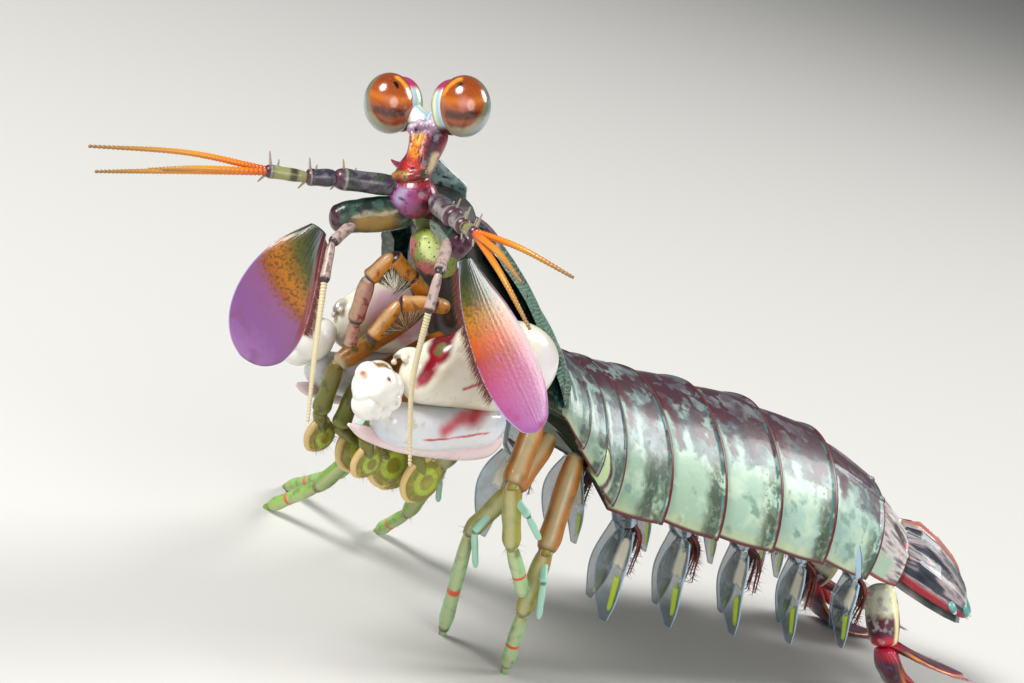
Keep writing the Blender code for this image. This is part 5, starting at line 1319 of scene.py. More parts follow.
def porcelain(name, base, marks, tint):
    """Thick lime-rich shell: a white body that light enters a little, and a wet polish on top."""
    paint = Finish(name, roughness=0.22, coat=0.5, shake=0.3, shake_size=1.0, scatter=0.1)
    # Pointiness finds the hollows and creases, where the white is darkened with a beige painted shade.
    folds = add(paint.tree, "NewGeometry").outputs["Pointiness"]
    layers = [(paint.mottle(2.6, 0.45, 0.75), tint),
              (band(paint.tree, folds, -1.0, 0.465, 0.03, strength=0.8), "#A89070"),
              (paint.mottle(0.9, 0.60, 0.72, seed=0.04), "#CFC6B0")]
    for start, end, reach, soft, hex_colour in marks:
        layers.append((paint.near(start, end, reach, soft), hex_colour))
    return paint.wear(painted(paint.tree, base, layers), 1.2, 0.03, 2.0)


CLAW_BASES = {"merus": ("#E4DFCC", "#D6CEB4"), "carpus": ("#E9E7DE", "#D9D8D0"),
              "propodus": ("#DDDEE0", "#C2CCD4"), "dactyl": ("#E2CCCD", "#D9B6BA")}
for (part_name, side_name), piece in claw_parts.items():
    base, tint = CLAW_BASES[part_name]
    material = porcelain(f"Porcelain_{part_name}_{side_name}", base, CLAW_MARKS[side_name][part_name], tint)
    finished(piece, material, "claw", f"claw_{part_name}_{side_name}")
print("claws painted")

# %% [markdown]
# ## The maxillipeds
# Five pairs of mouth feet lie between the claws. The first pair is slim and golden, with a comb of fine
# hairs. Those behind end in round, flat palms, olive with a yellow-green edge, and each palm closes with a
# cream crescent claw. The palms carry soft hairs on their faces.

# %% Shape the first pair
FIRST_MAXILLIPEDS = {
    "right": [(4.9, -14.8, 30.8), (4.6, -16.5, 32.0), (4.1, -18.5, 33.3), (3.5, -19.5, 31.2),
              (3.0, -19.1, 27.6),
              (2.7, -18.6, 25.6)],
    "left": [(6.0, -13.6, 30.4), (6.2, -15.2, 30.6), (5.0, -17.2, 30.0), (4.7, -18.7, 26.9)],
}
paint = Finish("Gold_and_pink_mouth_foot", roughness=0.35, coat=0.35, shake=0.3, shake_size=0.4)
tree = paint.tree
turn_of = add(tree, "Math", {"operation": "FRACT"}, {0: paint.along}).outputs[0]
colour = painted(tree, "#C47C14", [
    (paint.mottle(0.6, 0.50, 0.68), "#7E4208"),
    (band(tree, paint.along, 2.95, 9.0, 0.1), "#B07A6E"),
    (band(tree, paint.along, 2.9, 9.0, 0.1, paint.mottle(0.45, 0.48, 0.60, seed=0.02)), "#8A3A40"),
    (band(tree, paint.around, 0.12, 0.28, 0.06, strength=0.6), "#DDBC90"),
    (band(tree, turn_of, 0.88, 1.1, 0.04), "#3E141A"),
    (band(tree, turn_of, -0.1, 0.06, 0.03, band(tree, paint.along, 2.9, 9.0, 0.1)), "#CFBEB0"),
])
first_paint = paint.wear(colour, 0.25, 0.03)
COMB_PAINTS = [Finish("Dark_comb_hair", roughness=0.4, coat=0.1).wear("#1E1610", 0.5, 0.0),
               Finish("Pale_comb_hair", roughness=0.4, coat=0.1).wear("#C9BCA4", 0.5, 0.0)]
for side_name, joints in FIRST_MAXILLIPEDS.items():
    radii = [0.62, 0.66, 0.62, 0.68, 0.52][:len(joints) - 1]
    body = joined(f"mouth_foot_1_{side_name}", limb("mouth_foot", joints, radii, tip=0.6, rows=40))
    finished(body, first_paint, "first_maxilliped", f"maxilliped_1_{side_name}")
    arch = np.array(joints[:4])
    along_arch = curve(arch, np.linspace(0.25, 0.98, 100))
    inward = unit(arch.mean(axis=0) - (0, 0, 1.2) - along_arch)
    for k, comb_paint in enumerate(COMB_PAINTS):
        start = along_arch[k::2] + (0.35, -0.2, 0.0)
        comb = hairs(f"mouth_foot_1_{side_name}_comb_{k}", start, start + inward[k::2] * 1.9, 0.05,
                     seed=5 + k)
        finished(comb, comb_paint, "first_maxilliped")
print("first pair painted")

# %% Shape the pairs with palms
MAXILLIPEDS = {
    ("3", "right"): [(2.0, -12.4, 28.4), (1.7, -18.4, 23.8), (1.2, -18.2, 19.6), (1.0, -17.2, 17.6)],
    ("3", "left"): [(7.0, -12.8, 28.2), (6.6, -17.2, 23.2), (6.4, -17.6, 19.6), (6.2, -16.6, 17.8)],
    ("4", "right"): [(2.6, -9.8, 26.8), (2.5, -16.6, 22.4), (2.5, -17.0, 19.0), (2.6, -14.6, 17.4)],
    ("4", "left"): [(6.2, -10.0, 27.2), (5.2, -15.3, 21.8), (4.8, -15.8, 19.2), (4.9, -13.2, 17.2)],
    ("5", "right"): [(2.4, -7.0, 25.2), (3.4, -12.0, 20.6), (3.9, -13.6, 19.2), (3.8, -11.4, 16.4)],
    ("5", "left"): [(6.2, -7.2, 25.6), (6.6, -11.6, 20.8), (6.8, -13.0, 19.4), (6.6, -11.0, 16.6)],
}
PALM_RADIUS = 1.8
PALM_HAIRS = 150
paint = Finish("Olive_mouth_foot", roughness=0.4, coat=0.3, shake=0.4, shake_size=0.6, scatter=0.1)
tree = paint.tree
colour = add(tree, "ValToRGB", {"stops": [(0.0, "#A85A14"), (0.45, "#A86A1C"), (0.55, "#7A6E24"),
                                                    (0.9, "#6E7428"), (1.0, "#7E8430")]},
             {0: add(tree, "MapRange", {1: 0.0, 2: 2.0}, {0: paint.loose_along}).outputs[0]}).outputs[0]
colour = painted(tree, colour, [
    (band(tree, paint.along, 0.5, 3.0, 0.1, paint.mottle(0.8, 0.50, 0.66)), "#55561C"),
    (band(tree, paint.along, 0.94, 1.03, 0.03), "#B9A67E"),
    (band(tree, paint.along, 2.5, 4.6, 0.01), "#7E7A22"),
    (band(tree, paint.along, 2.5, 4.6, 0.01, paint.mottle(0.9, 0.45, 0.62, seed=0.03)), "#9A9434"),
    (band(tree, paint.along, 3.36, 3.62, 0.05), "#A3B83A"),
    (band(tree, paint.along, 5.0, 7.0, 0.01), "#D6B878"),
    (band(tree, paint.along, 5.05, 6.2, 0.05, band(tree, paint.around, 0.3, 0.7, 0.06)), "#B06A22"),
])
foot_paint = paint.wear(colour, 0.3, 0.04)
seta_paint = Finish("Pale_seta", roughness=0.5, coat=0.0).wear("#A89A62", 0.5, 0.0)
for (number, side_name), places in MAXILLIPEDS.items():
    root, elbow, wrist, palm = [np.array(place) for place in places]
    side = np.array((1.0, 0, 0))
    to_palm = unit(palm - wrist)
    third = np.cross(side, to_palm)
    radius = PALM_RADIUS * (0.7 if number == "3" else 1.0)
    parts = limb("arm", [root, elbow, wrist], [0.8, 0.7], tip=0.8, rows=36)

    def disc(around, along, palm=palm, side=side, to_palm=to_palm, third=third, radius=radius):
        polar, angle = np.pi * along, 2 * np.pi * around
        edge = np.sin(polar)
        out = np.outer(np.cos(angle) * edge, to_palm) * radius * 1.08 + np.outer(np.sin(angle) * edge,
                                                                                 third) * radius
        return palm + out - np.outer(np.cos(polar), side) * 0.55, np.column_stack([around, 3 + edge])

    parts.append(skin("palm", 30, 48, disc))
    parts.append(tube("bridge", [wrist - to_palm * 0.3, palm], [0.58, 0.5], sides=18, rows=14, number=1.2))
    hook = [palm - to_palm * (radius + 0.12) * math.cos(angle) - third * (radius + 0.12) * math.sin(angle)
            for angle in (math.radians(-35 + 50 * k) for k in range(5))]
    parts.append(tube("crescent", hook, [0.28, 0.30, 0.26, 0.2, 0.06], sides=20, rows=40, number=5.1))
    body = joined(f"mouth_foot_{number}_{side_name}", parts)
    finished(body, foot_paint, "maxilliped", f"maxilliped_{number}_{side_name}")
    dice = np.random.default_rng(7)
    angle = dice.uniform(0, 2 * np.pi, PALM_HAIRS)
    reach = radius * np.sqrt(dice.uniform(0.1, 1.0, PALM_HAIRS))
    outward = np.where(dice.uniform(size=PALM_HAIRS) < 0.5, 1, -1)
    roots = palm + np.outer(np.cos(angle) * reach, to_palm) + np.outer(np.sin(angle) * reach, third) \
        + np.outer(outward * 0.5 * np.sqrt(1 - (reach / radius) ** 2 * 0.98), side)
    tips = roots + np.outer(outward * 0.35, side) + np.outer(np.cos(angle), to_palm) * 0.45 \
        + np.outer(np.sin(angle), third) * 0.45
    tuft = hairs(f"mouth_foot_{number}_{side_name}_setae", roots, tips, 0.022, seed=9)
    finished(tuft, seta_paint, "maxilliped")
print("mouth feet painted")

# %% [markdown]
# ## The walking legs
# Three pairs of thin legs stand on the floor, each with a small side branch. They go from orange-brown at
# the top to yellow-green and pale cyan below, with knobs at the joints, an orange-red ring near the end
# and tan tufts of hair.

# %% Shape and paint the legs
LEGS = {
    ("1", "left"): {
        "joints": [(7.4, -2.0, 22.2), (9.6, -4.6, 17.6), (10.0, -2.9, 12.6), (10.0, 0.2, 8.4)],
        "branch": [(9.7, -4.2, 16.8), (11.4, -3.6, 15.8), (12.0, -2.3, 14.2)], "stands": False},
    ("2", "left"): {
        "joints": [(6.8, 0.6, 20.6), (8.2, -2.8, 16.8), (5.2, -3.0, 11.6), (0.6, 2.4, 0.0)],
        "branch": [(7.0, -3.0, 14.4), (6.6, -3.9, 12.3), (6.0, -1.9, 8.9)], "stands": True},
    ("3", "left"): {
        "joints": [(7.6, 3.4, 19.4), (10.0, 1.0, 12.2), (8.9, 1.9, 6.2), (7.4, 3.7, 0.0)],
        "branch": [(9.9, 1.2, 11.6), (11.2, 0.6, 10.0), (11.0, 1.6, 6.8)], "stands": True},
    ("1", "right"): {
        "joints": [(-4.6, -2.6, 21.8), (-11.0, -1.2, 15.0), (-18.0, 3.0, 6.2), (-28.6, 6.6, 0.0)],
        "branch": [(-10.6, -1.2, 15.0), (-12.0, -2.6, 12.8), (-13.2, -2.2, 10.4)], "stands": True},
    ("2", "right"): {
        "joints": [(-4.6, 0.4, 20.2), (-11.6, 0.4, 13.0), (-17.6, 0.6, 5.0), (-24.1, 1.2, 0.0)],
        "branch": [(-11.2, 0.4, 12.8), (-12.6, 1.6, 10.6), (-13.2, 2.6, 8.2)], "stands": True},
    ("3", "right"): {
        "joints": [(-4.6, 3.6, 18.8), (-9.4, 6.2, 11.2), (-14.2, 8.6, 4.2), (-19.3, 10.5, 0.0)],
        "branch": [(-9.2, 6.2, 11.2), (-10.6, 7.6, 9.2), (-11.2, 8.8, 6.8)], "stands": True},
}


def leg_finish(name, top, middle, low):
    """Thin chitin over green tissue: fairly matt, with a pale painted highlight along one side and a dark
    painted shade along the other.
    """
    paint = Finish(name, roughness=0.4, coat=0.3, shake=0.3, shake_size=0.5, scatter=0.1)
    tree = paint.tree
    turn_of = add(tree, "Math", {"operation": "FRACT"}, {0: paint.along}).outputs[0]
    shade = add(tree, "ValToRGB", {"stops": [(0.0, top), (0.30, top), (0.42, middle), (0.66, middle),
                                                       (0.75, low), (1.0, low)]},
                {0: add(tree, "MapRange", {1: 0.0, 2: 3.0}, {0: paint.loose_along}).outputs[0]}).outputs[0]
    colour = painted(tree, shade, [
        (band(tree, paint.along, 0.0, 9.0, 0.02, paint.mottle(1.1, 0.48, 0.70), 0.55), "#4A4A1C"),
        # A dark stripe along one side of each segment is painted shade, and a pale stripe on the other side
        # is a painted highlight.
        (band(tree, paint.around, 0.52, 0.72, 0.08, strength=0.6), "#6E4410"),
        (band(tree, paint.around, 0.06, 0.22, 0.06, strength=0.5), "#D2D0A4"),
        (band(tree, turn_of, -0.1, 0.05, 0.03), "#C2BC96"),
        (band(tree, turn_of, 0.95, 1.1, 0.03), "#5E4A22"),
        (band(tree, paint.along, 2.55, 2.60, 0.008), "#D9582E"),
        (band(tree, paint.along, 4.9, 7.0, 0.02), "#A3D2BC"),
        (band(tree, paint.along, 5.96, 6.06, 0.02), "#5E8A78"),
    ])
    return paint.wear(colour, 0.3, 0.03)


LEG_PAINT = {"left": leg_finish("Amber_green_leg", "#A8640F", "#96942E", "#9CC48A"),
             "right": leg_finish("Green_leg", "#7A6A1E", "#6C9626", "#86B848")}
tan_paint = Finish("Tan_seta", roughness=0.5, coat=0.0).wear("#9A8256", 0.5, 0.0)
for (number, side_name), plan in LEGS.items():
    joints = [np.array(joint) for joint in plan["joints"]]
    toe = joints[-1].copy()
    if plan["stands"]:
        joints[-1] = toe + unit(joints[-2] - toe) * 0.8
    parts = limb("leg", joints, [0.98, 0.82, 0.6], sides=32, rows=60, tip=0.72)
    parts += limb("branch", plan["branch"], [0.34, 0.3], sides=14, rows=24, tip=0.5, first=5)
    for k in (1, 2):
        parts.append(ball("knob", joints[k], np.eye(3), ((0.62, 0.5)[k - 1],) * 3, 24, 16, number=k - 0.5))
    if plan["stands"]:
        lean = unit(joints[-2] - toe)
        parts.append(tube("toe", [toe + (0, 0, 0.02), toe + lean * 0.6 / max(lean[2], 0.3),
                                  toe + lean * 1.5 / max(lean[2], 0.3)], [0.33, 0.36, 0.4], sides=20,
                                  rows=16,
                          number=2.0, blunt=(0.05, 0.5)))
    body = joined(f"leg_{number}_{side_name}", parts)
    for vert in body.data.vertices:
        vert.co.z = max(vert.co.z, 0.0)
    finished(body, LEG_PAINT[side_name], "walking_leg", f"walking_leg_{number}_{side_name}")
    dice = np.random.default_rng(int(number) + 20)
    roots, tips = [], []
    for near_joint, far_joint, at, count, long in ((1, 2, 0.95, 12, 1.3), (2, 3, 0.35, 8, 0.9),
                                                   (2, 3, 0.62, 10, 1.1)):
        start, end = joints[near_joint], joints[far_joint]
        for _ in range(count):
            root = start + (end - start) * (at + dice.uniform(-0.04, 0.04))
            roots.append(root)
            out = unit(dice.normal(size=3)) + unit(end - start) * 0.8
            tips.append(root + unit(out) * long)
    tips = [np.maximum(tip, (-99, -99, 0.1)) for tip in tips]
    finished(hairs(f"leg_{number}_{side_name}_tufts", roots, tips, 0.04, seed=11), tan_paint, "walking_leg")
print("legs painted")

# %% [markdown]
# ## The pleopods
# Under the tail hang five pairs of swimming flaps. Their blades are nearly clear, with a pale blue edge, a
# white oval and a yellow-green bar, and behind each one grow feathery red-brown gills.

# %% Shape and paint the flaps
# How far the blades of each pair hang below their ring, in mm
PLEOPOD_DROPS = [11.4, 11.2, 10.8, 10.2, 8.6]
# Gill threads behind each flap, and twigs on each thread
GILL_STRANDS, TWIGS = 12, 34
paint = Finish("Clear_flap", roughness=0.2, coat=0.4, shake=0.15, shake_size=0.5)
tree = paint.tree
edge = add(tree, "Math", {"operation": "ABSOLUTE"}, {0: paint.rim_side()}).outputs[0]
rim = band(tree, edge, 0.93, 1.2, 0.04)
ovals = [band(tree, paint.loose_along, 0.10, 0.42, 0.04, band(tree, paint.around, low, low + 0.13, 0.03))
         for low in (0.10, 0.77)]
bars = [band(tree, paint.loose_along, 0.52, 0.86, 0.04, band(tree, paint.around, low, low + 0.08, 0.02))
        for low in (0.10, 0.82)]
colour = painted(tree, "#3C5666", [(paint.mottle(0.8, 0.45, 0.65), "#6E8A96"), (rim, "#A6C6DC"),
                                   *[(oval, "#E6E2CC") for oval in ovals],
                                   *[(bar, "#C4DC2E") for bar in bars]])
solid = rim
for mark in ovals + bars:
    solid = add(tree, "Math", {"operation": "MAXIMUM"}, {0: solid, 1: mark}).outputs[0]
cover = add(tree, "MapRange", {3: 0.45, 4: 0.95}, {0: solid}).outputs[0]
tree.links.new(cover, paint.shader.inputs["Alpha"])
flap_paint = paint.wear(colour, 0.4, 0.01)
paint = Finish("Feathery_gill", roughness=0.5, coat=0.1)
gill_paint = paint.wear(painted(paint.tree, "#7A342C", [(paint.mottle(1.0, 0.45, 0.6), "#46181C")]), 0.3,
                        0.02)
for number in range(1, 6):
    start, widths, hems, _, drop_in = TERGITES[f"abdomen_somite_{number}"]
    for side_name, sign in (("left", 1), ("right", -1)):
        middle = start + 0.5
        belly = sum(hems) / 2 + drop_in
        across, drop = widths[0] * 0.68, PLEOPOD_DROPS[number - 1]

        def under(left, up, back):
            return on_line([middle], left, up, back)[0]

        root = under(sign * across, belly + 0.3, 0.4)
        hip = under(sign * (across + 0.6), belly - drop * 0.32, 2.6)
        knee = under(sign * (across + 1.3), belly - drop * 0.64, 2.9)
        tip = under(sign * (across + 1.4), belly - drop, 5.0)
        inner_knee = under(sign * (across - 0.8), belly - drop * 0.66, 4.0)
        inner_tip = under(sign * (across - 1.2), belly - drop * 0.92, 5.2)
        lefts = unit(under(1, 0, 0) - under(0, 0, 0))
        backs = unit(under(0, 0, 1) - under(0, 0, 0))
        ups = np.cross(lefts, backs)
        stem = tube("stem", [root, (root + hip) / 2, hip], [1.2, 1.4, 1.2], [0.8, 0.85, 0.65], hint=lefts,
                    sides=28,
                    rows=24, number=-0.9)
        outer = tube("outer", [hip + lefts * sign * 0.5, knee, tip], [0.8, 1.5, 1.72, 1.4, 0.5],
                     [0.3, 0.24, 0.2, 0.18, 0.12], hint=lefts, sides=56, rows=50)
        inner = tube("inner", [hip - lefts * sign * 0.6, inner_knee, inner_tip], [0.8, 1.28, 0.4],
                     [0.26, 0.2, 0.12], hint=lefts, sides=44, rows=40)
        flap = joined(f"flap_{number}_{side_name}", [stem, outer, inner])
        finished(flap, flap_paint, "pleopod", f"pleopod_{number}_{side_name}")
        dice = np.random.default_rng(number * 2 + sign)
        strands, twigs_from, twigs_to = [], [], []
        for k in range(GILL_STRANDS):
            at = k / (GILL_STRANDS - 1)
            base = root + (hip - root) * 0.75 + lefts * sign * (at - 0.5) * 1.8
            bend = base + backs * (2.4 + dice.uniform(-0.2, 0.3)) - ups * (0.8 + 0.6 * at)
            end = bend + backs * dice.uniform(0.2, 0.7) - ups * (2.9 + dice.uniform(-0.3, 0.5)) \
                + lefts * sign * (at - 0.5)
            strands.append(tube("strand", [base, bend, end], [0.13, 0.11, 0.04], sides=6, rows=12,
                                hint=lefts))
            share = np.linspace(0.3, 1.0, TWIGS)
            line = curve([base, bend, end], share)
            out = unit(dice.normal(size=(TWIGS, 3)) * (1.0, 1.0, 0.4) - ups * 0.4)
            twigs_from.append(line)
            twigs_to.append(line + out * 0.72)
        gill = joined(f"gill_{number}_{side_name}", strands)
        finished(gill, gill_paint, "pleopod")
        twigs = hairs(f"gill_{number}_{side_name}_twigs", np.vstack(twigs_from), np.vstack(twigs_to), 0.03,
                      seed=number)
        finished(twigs, gill_paint, "pleopod")
print("flaps painted")

# %% [markdown]
# ## The tail plate
# The telson is a stout plate with keels and blunt teeth at its rear edge. Dark grey and pinkish white
# stripes run along it, its upper edge is orange and its teeth are teal with white outlines.

# %% Shape and paint the telson
TELSON_BASE = np.array((8.1, 45.6, 10.7))
TELSON_END = np.array((12.2, 53.9, 7.7))
tail_along = TELSON_END - TELSON_BASE
TAIL_ROWS = 50
TELSON_LENGTH = float(np.linalg.norm(tail_along))
TELSON = station(TELSON_BASE, math.degrees(math.asin(-tail_along[2] / TELSON_LENGTH)),
                 math.degrees(math.atan2(tail_along[0], tail_along[1])), 0.0)


def on_tail(left, up, back):
    left, up, back = (np.atleast_1d(value)[:, None] for value in (left, up, back))
    return TELSON[0] + TELSON[1] * left + TELSON[2] * up + TELSON[3] * back


def tail_plate(around, along):
    share = np.clip((along - 1 / TAIL_ROWS) / (1 - 2 / TAIL_ROWS), 0, 1)
    at = share * 0.97
    places = (0.0, 0.15, 0.4, 0.65, 0.85, 0.97)
    half = np.interp(at, places, (4.6, 5.5, 5.9, 5.5, 4.5, 3.2))
    high = np.interp(at, places, (4.1, 4.4, 4.1, 3.4, 2.5, 1.7))
    under = around > 0.6
    u = np.where(under, -1 + 2 * (around - 0.6) / 0.4, 1 - 2 * around / 0.6)
    arch = high * (1 - np.abs(u) ** 2.2)
    fade = np.clip(share * 6, 0, 1) * np.clip((1 - share) * 5, 0, 1)
    keels = sum(size * np.exp(-((u - place) / 0.045) ** 2)
                for place, size in ((-0.78, 0.28), (-0.5, 0.42), (-0.25, 0.2), (0.0, 0.5), (0.25, 0.2),
                                    (0.5, 0.42),
                                    (0.78, 0.28)))
    up = np.where(under, arch * 0.72 - 0.75, arch + keels * fade)
    left = np.where(under, u * half * 0.9, u * half)
    points = on_tail(left, up, at * TELSON_LENGTH)
    capped = (along < 0.5 / TAIL_ROWS) | (along > 1 - 0.5 / TAIL_ROWS)
    middle = on_tail(0 * left, high * 0.4, at * TELSON_LENGTH)
    return np.where(capped[:, None], middle,
                    points), np.column_stack([np.where(under, 1.5, (u + 1) / 2), share])


parts = [skin("tail_plate", TAIL_ROWS, 170, tail_plate, keen=60)]
for out, back, reach in ((1.5, 0.9, 2.2), (3.6, 0.82, 1.5), (5.2, 0.6, 1.2)):
    for side in (-1, 1):
        root = on_tail(side * (out - 0.4), 0.6 + 0.2 * (5.2 - out), TELSON_LENGTH * back)[0]
        tip = on_tail(side * out, 0.1, TELSON_LENGTH * back + reach)[0]
        parts.append(tube("tooth", [root, root * 0.5 + tip * 0.5, root * 0.25 + tip * 0.75, tip],
                          [0.62, 0.6, 0.45, 0.12], [0.5, 0.42, 0.3, 0.1], hint=TELSON[1], sides=24, rows=24,
                          number=3.0))
telson = joined("tail_telson", parts)
paint = Finish("Striped_tail_shell", roughness=0.35, coat=0.35, shake=0.3)
tree = paint.tree
streaks = add(tree, "TexNoise", {"Scale": 11.0, "Detail": 3.0},
              {"Vector": add(tree, "VectorMath", {"operation": "MULTIPLY", 1: (1.5, 0.12, 0.0)},
                             {0: paint.lie}).outputs[0]}).outputs["Fac"]
colour = add(tree, "ValToRGB", {"stops": [(0.34, "#15191F"), (0.45, "#3A3E48"), (0.51, "#B09C9E"),
                                                    (0.57, "#6E7A7A"), (0.66, "#1E2A30")]},
                                                    {0: streaks}).outputs[0]
colour = painted(tree, colour, [
    (band(tree, paint.around, 0.965, 1.1, 0.015, band(tree, paint.along, -0.1, 1.1, 0.05)), "#8E1E28"),
    (band(tree, paint.around, 0.84, 0.88, 0.015, band(tree, paint.along, 0.3, 1.1, 0.1)), "#C9C0BC"),
    (band(tree, paint.around, 0.02, 0.22, 0.06, strength=0.85), "#B4563A"),
    (band(tree, paint.around, 0.46, 0.54, 0.02, strength=0.8), "#B46A58"),
    (band(tree, paint.along, 3.0, 4.4, 0.02), "#5FA39A"),
    (band(tree, paint.along, 3.72, 4.4, 0.06), "#E9EBE4"),
])
finished(telson, paint.wear(colour, 0.35, 0.04), "telson", "telson")
print("telson faces:", len(telson.data.polygons))

# %% [markdown]
# ## The uropods
# Beside the telson stand the uropods: a cream base with a dark band and a red spine, and two blades each,
# dark maroon with a blue sheen and an orange edge, fringed with pinkish hairs. The outer blades rest on
# the floor.

# %% Shape and paint the uropods
UROPODS = {
    "left": {
        "base": [(12.0, 41.9, 10.0), (13.4, 42.2, 7.2), (14.6, 42.4, 4.9)],
        "spine": [(14.2, 42.6, 5.6), (15.2, 45.0, 2.6), (15.6, 47.2, 1.6)],
        "outer": [(14.6, 42.2, 4.9), (15.6, 43.6, 2.4), (16.2, 46.2, 0.7), (16.4, 51.2, 0.25)],
        "inner": [(14.4, 42.6, 5.4), (16.2, 45.4, 4.6), (18.6, 49.4, 3.9)],
    },
    "right": {
        "base": [(3.2, 45.6, 9.8), (1.6, 46.6, 7.0), (0.6, 47.4, 4.9)],
        "spine": [(1.2, 47.4, 5.6), (1.4, 49.8, 3.2), (2.2, 51.8, 2.2)],
        "outer": [(0.8, 47.2, 4.9), (0.4, 49.0, 2.6), (1.4, 51.4, 0.7), (3.4, 55.6, 0.25)],
        "inner": [(1.2, 47.4, 5.2), (3.0, 50.8, 4.0), (6.4, 55.2, 2.6)],
    },
}
paint = Finish("Cream_and_maroon_base", roughness=0.3, coat=0.5, shake=0.3)
tree = paint.tree
colour = add(tree, "ValToRGB", {"stops": [(0.0, "#C9D2BC"), (0.40, "#D8D6BC"), (0.52, "#5A1E38"),
                                                    (0.78, "#4E1430"), (0.86, "#B01838"), (1.0, "#C41E30")]},
             {0: paint.loose_along}).outputs[0]
colour = painted(tree, colour, [
    (paint.mottle(0.9, 0.5, 0.66), "#A9A6A0"),
    (band(tree, paint.around, 0.0, 0.06, 0.02), "#E9DFA4"),
    (band(tree, paint.along, 2.0, 4.0, 0.01), "#C81C2A"),
])
uropod_paint = paint.wear(colour, 0.3, 0.03)
paint = Finish("Maroon_blade", roughness=0.28, coat=0.6, shake=0.3)
tree = paint.tree
edge = add(tree, "Math", {"operation": "ABSOLUTE"}, {0: paint.rim_side()}).outputs[0]
colour = painted(tree, "#4A1226", [
    (paint.mottle(1.0, 0.48, 0.64), "#7E1A30"),
    (paint.mottle(0.8, 0.55, 0.66, seed=0.05), "#2E4A78"),
    (band(tree, edge, 0.90, 1.2, 0.05, band(tree, paint.along, 0.3, 1.2, 0.2)), "#D08A2C"),
    (band(tree, paint.along, -0.1, 0.12, 0.05), "#B01838"),
])
blade_paint = paint.wear(colour, 0.4, 0.02)
pink_hair = Finish("Pink_fringe", roughness=0.5, coat=0.0).wear("#A8626A", 0.5, 0.0)


def blade_ribs(around, share, points):
    """Faint ribs along a tail blade."""
    return 0.03 * np.cos(26 * np.cos(2 * np.pi * around))


for side_name, plan in UROPODS.items():
    base = tube("base", plan["base"], [1.5, 1.85, 1.8, 1.35], [0.95, 1.08, 1.0, 0.8], sides=60, rows=50,
                power=1.8)
    prong = tube("prong", plan["spine"], [0.66, 0.58, 0.42, 0.1], sides=26, rows=40, number=2.5)
    body = joined(f"uropod_{side_name}_base", [base, prong])
    finished(body, uropod_paint, "uropod", f"uropod_{side_name}")
    blades, roots, tips = [], [], []
    for part_name, widths, thick in (("outer", [1.1, 1.6, 1.8, 1.9, 2.0, 2.0, 1.6, 0.7],
                                      [0.6, 0.5, 0.42, 0.36, 0.32, 0.28, 0.24, 0.2]),
                                     ("inner", [0.9, 1.6, 2.05, 1.9, 0.7], [0.5, 0.42, 0.34, 0.28, 0.2])):
        blades.append(tube(part_name, plan[part_name], widths, thick, sides=72, rows=80,
                           relief=blade_ribs))
        share = np.linspace(0.35, 1.0, 150)
        centre, ahead, side, up = frames(plan[part_name], share, (1, 0, 0))
        reach = level(widths, share)[:, None] * 0.93
        for sign in (-1, 1):
            roots.append(centre + side * sign * reach)
            tips.append(roots[-1] + side * sign * 0.45 + ahead * 0.75)
    blade = joined(f"uropod_{side_name}_blades", blades)
    for vert in blade.data.vertices:
        vert.co.z = max(vert.co.z, 0.0)
    finished(blade, blade_paint, "uropod")
    tips = np.maximum(np.vstack(tips), (-99, -99, 0.06))
    finished(hairs(f"uropod_{side_name}_fringe", np.vstack(roots), tips, 0.035, seed=13), pink_hair,
             "uropod")
print("uropods painted")

# %% [markdown]
# ## Floor, light and camera
# A plain pale floor and soft lamps: one broad key from the upper left, a fill from the right and a rim
# from behind. The camera looks from the front left, a little above, with a narrow lens, as in a close-up.

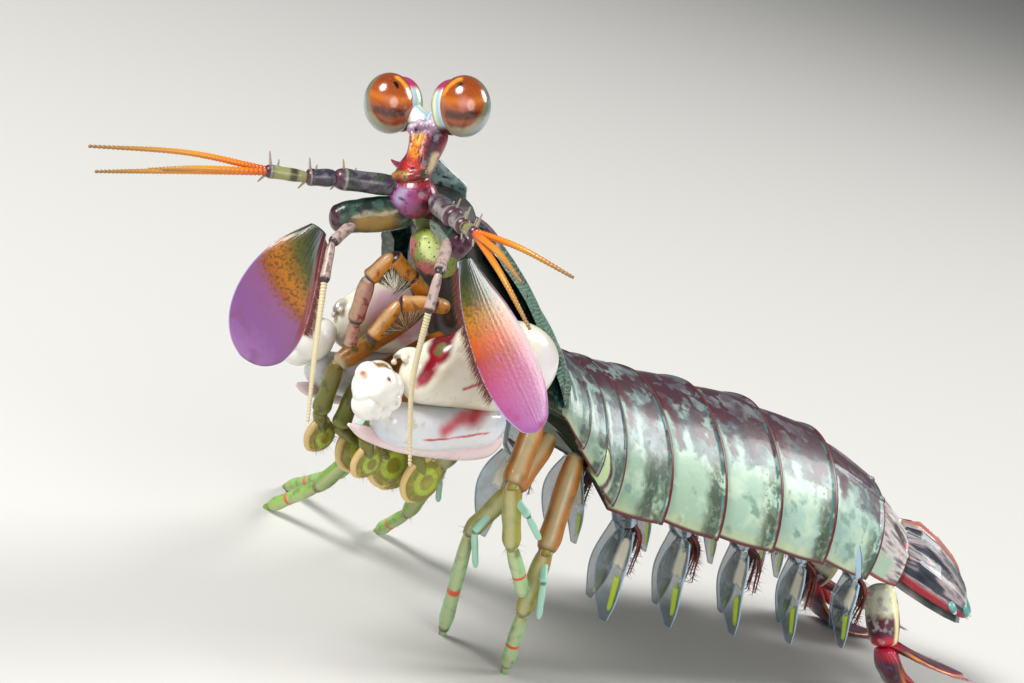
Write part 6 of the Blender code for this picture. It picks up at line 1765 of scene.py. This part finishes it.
# %% Stage, lamps and camera
bpy.ops.object.select_all(action="DESELECT")
FLOOR_SIZE = 3.0
bpy.ops.mesh.primitive_plane_add(size=FLOOR_SIZE, location=(0, 0, 0))
floor = bpy.context.object
floor.name = "studio_floor"
bpy.ops.object.transform_apply(location=True, rotation=True, scale=True)
floor_paint = bpy.data.materials.new("Matt_studio_paper")
floor_paint.use_nodes = True
floor_shader = floor_paint.node_tree.nodes["Principled BSDF"]
floor_shader.inputs["Base Color"].default_value = linear("#CFCDC8")
floor_shader.inputs["Roughness"].default_value = 0.9
floor.data.materials.append(floor_paint)

LAMPS = {"key": ((-0.10, -0.42, 0.50), 0.28, 4.9), "fill": ((0.50, -0.20, 0.26), 0.36, 1.5),
         "rim": ((0.15, 0.50, 0.42), 0.30, 2.8)}
middle = Vector((0.0, 0.0, 0.022))
for name, (at, size, watts) in LAMPS.items():
    lamp_data = bpy.data.lights.new(name, "AREA")
    lamp_data.energy = watts
    lamp_data.shape = "DISK"
    lamp_data.size = size
    lamp = bpy.data.objects.new(name, lamp_data)
    lamp.location = at
    lamp.rotation_euler = (middle - Vector(at)).to_track_quat("-Z", "Y").to_euler()
    bpy.context.scene.collection.objects.link(lamp)

world = bpy.data.worlds.new("Soft_room")
world.use_nodes = True
world.node_tree.nodes["Background"].inputs["Color"].default_value = linear("#E6E9EC")
world.node_tree.nodes["Background"].inputs["Strength"].default_value = 0.22
bpy.context.scene.world = world
# The plain view keeps the shell's deep reds and greens as strong as they are painted
bpy.context.scene.view_settings.view_transform = "Standard"

# How far the camera stands from the middle of the animal, in mm, and its angle of view, in degrees
CAMERA_DISTANCE, LENS_ANGLE = 206, 22.5
VIEW_RIGHT = Vector((0.620, 0.725, 0.300))
VIEW_UP = Vector((-0.381, -0.056, 0.923))
VIEW_BACK = Vector((0.686, -0.686, 0.242))
VIEW_TARGET = Vector(metres((0, 0, 26)))
camera_data = bpy.data.cameras.new("camera")
camera_data.sensor_fit = "HORIZONTAL"
camera_data.angle = math.radians(LENS_ANGLE)
camera_data.clip_start = 0.01
camera = bpy.data.objects.new("camera", camera_data)
turn = np.column_stack([VIEW_RIGHT, VIEW_UP, VIEW_BACK])
camera.matrix_world = Matrix(turn.tolist()).to_4x4()
camera.location = VIEW_TARGET + VIEW_BACK * CAMERA_DISTANCE * MM
bpy.context.scene.collection.objects.link(camera)
bpy.context.scene.camera = camera
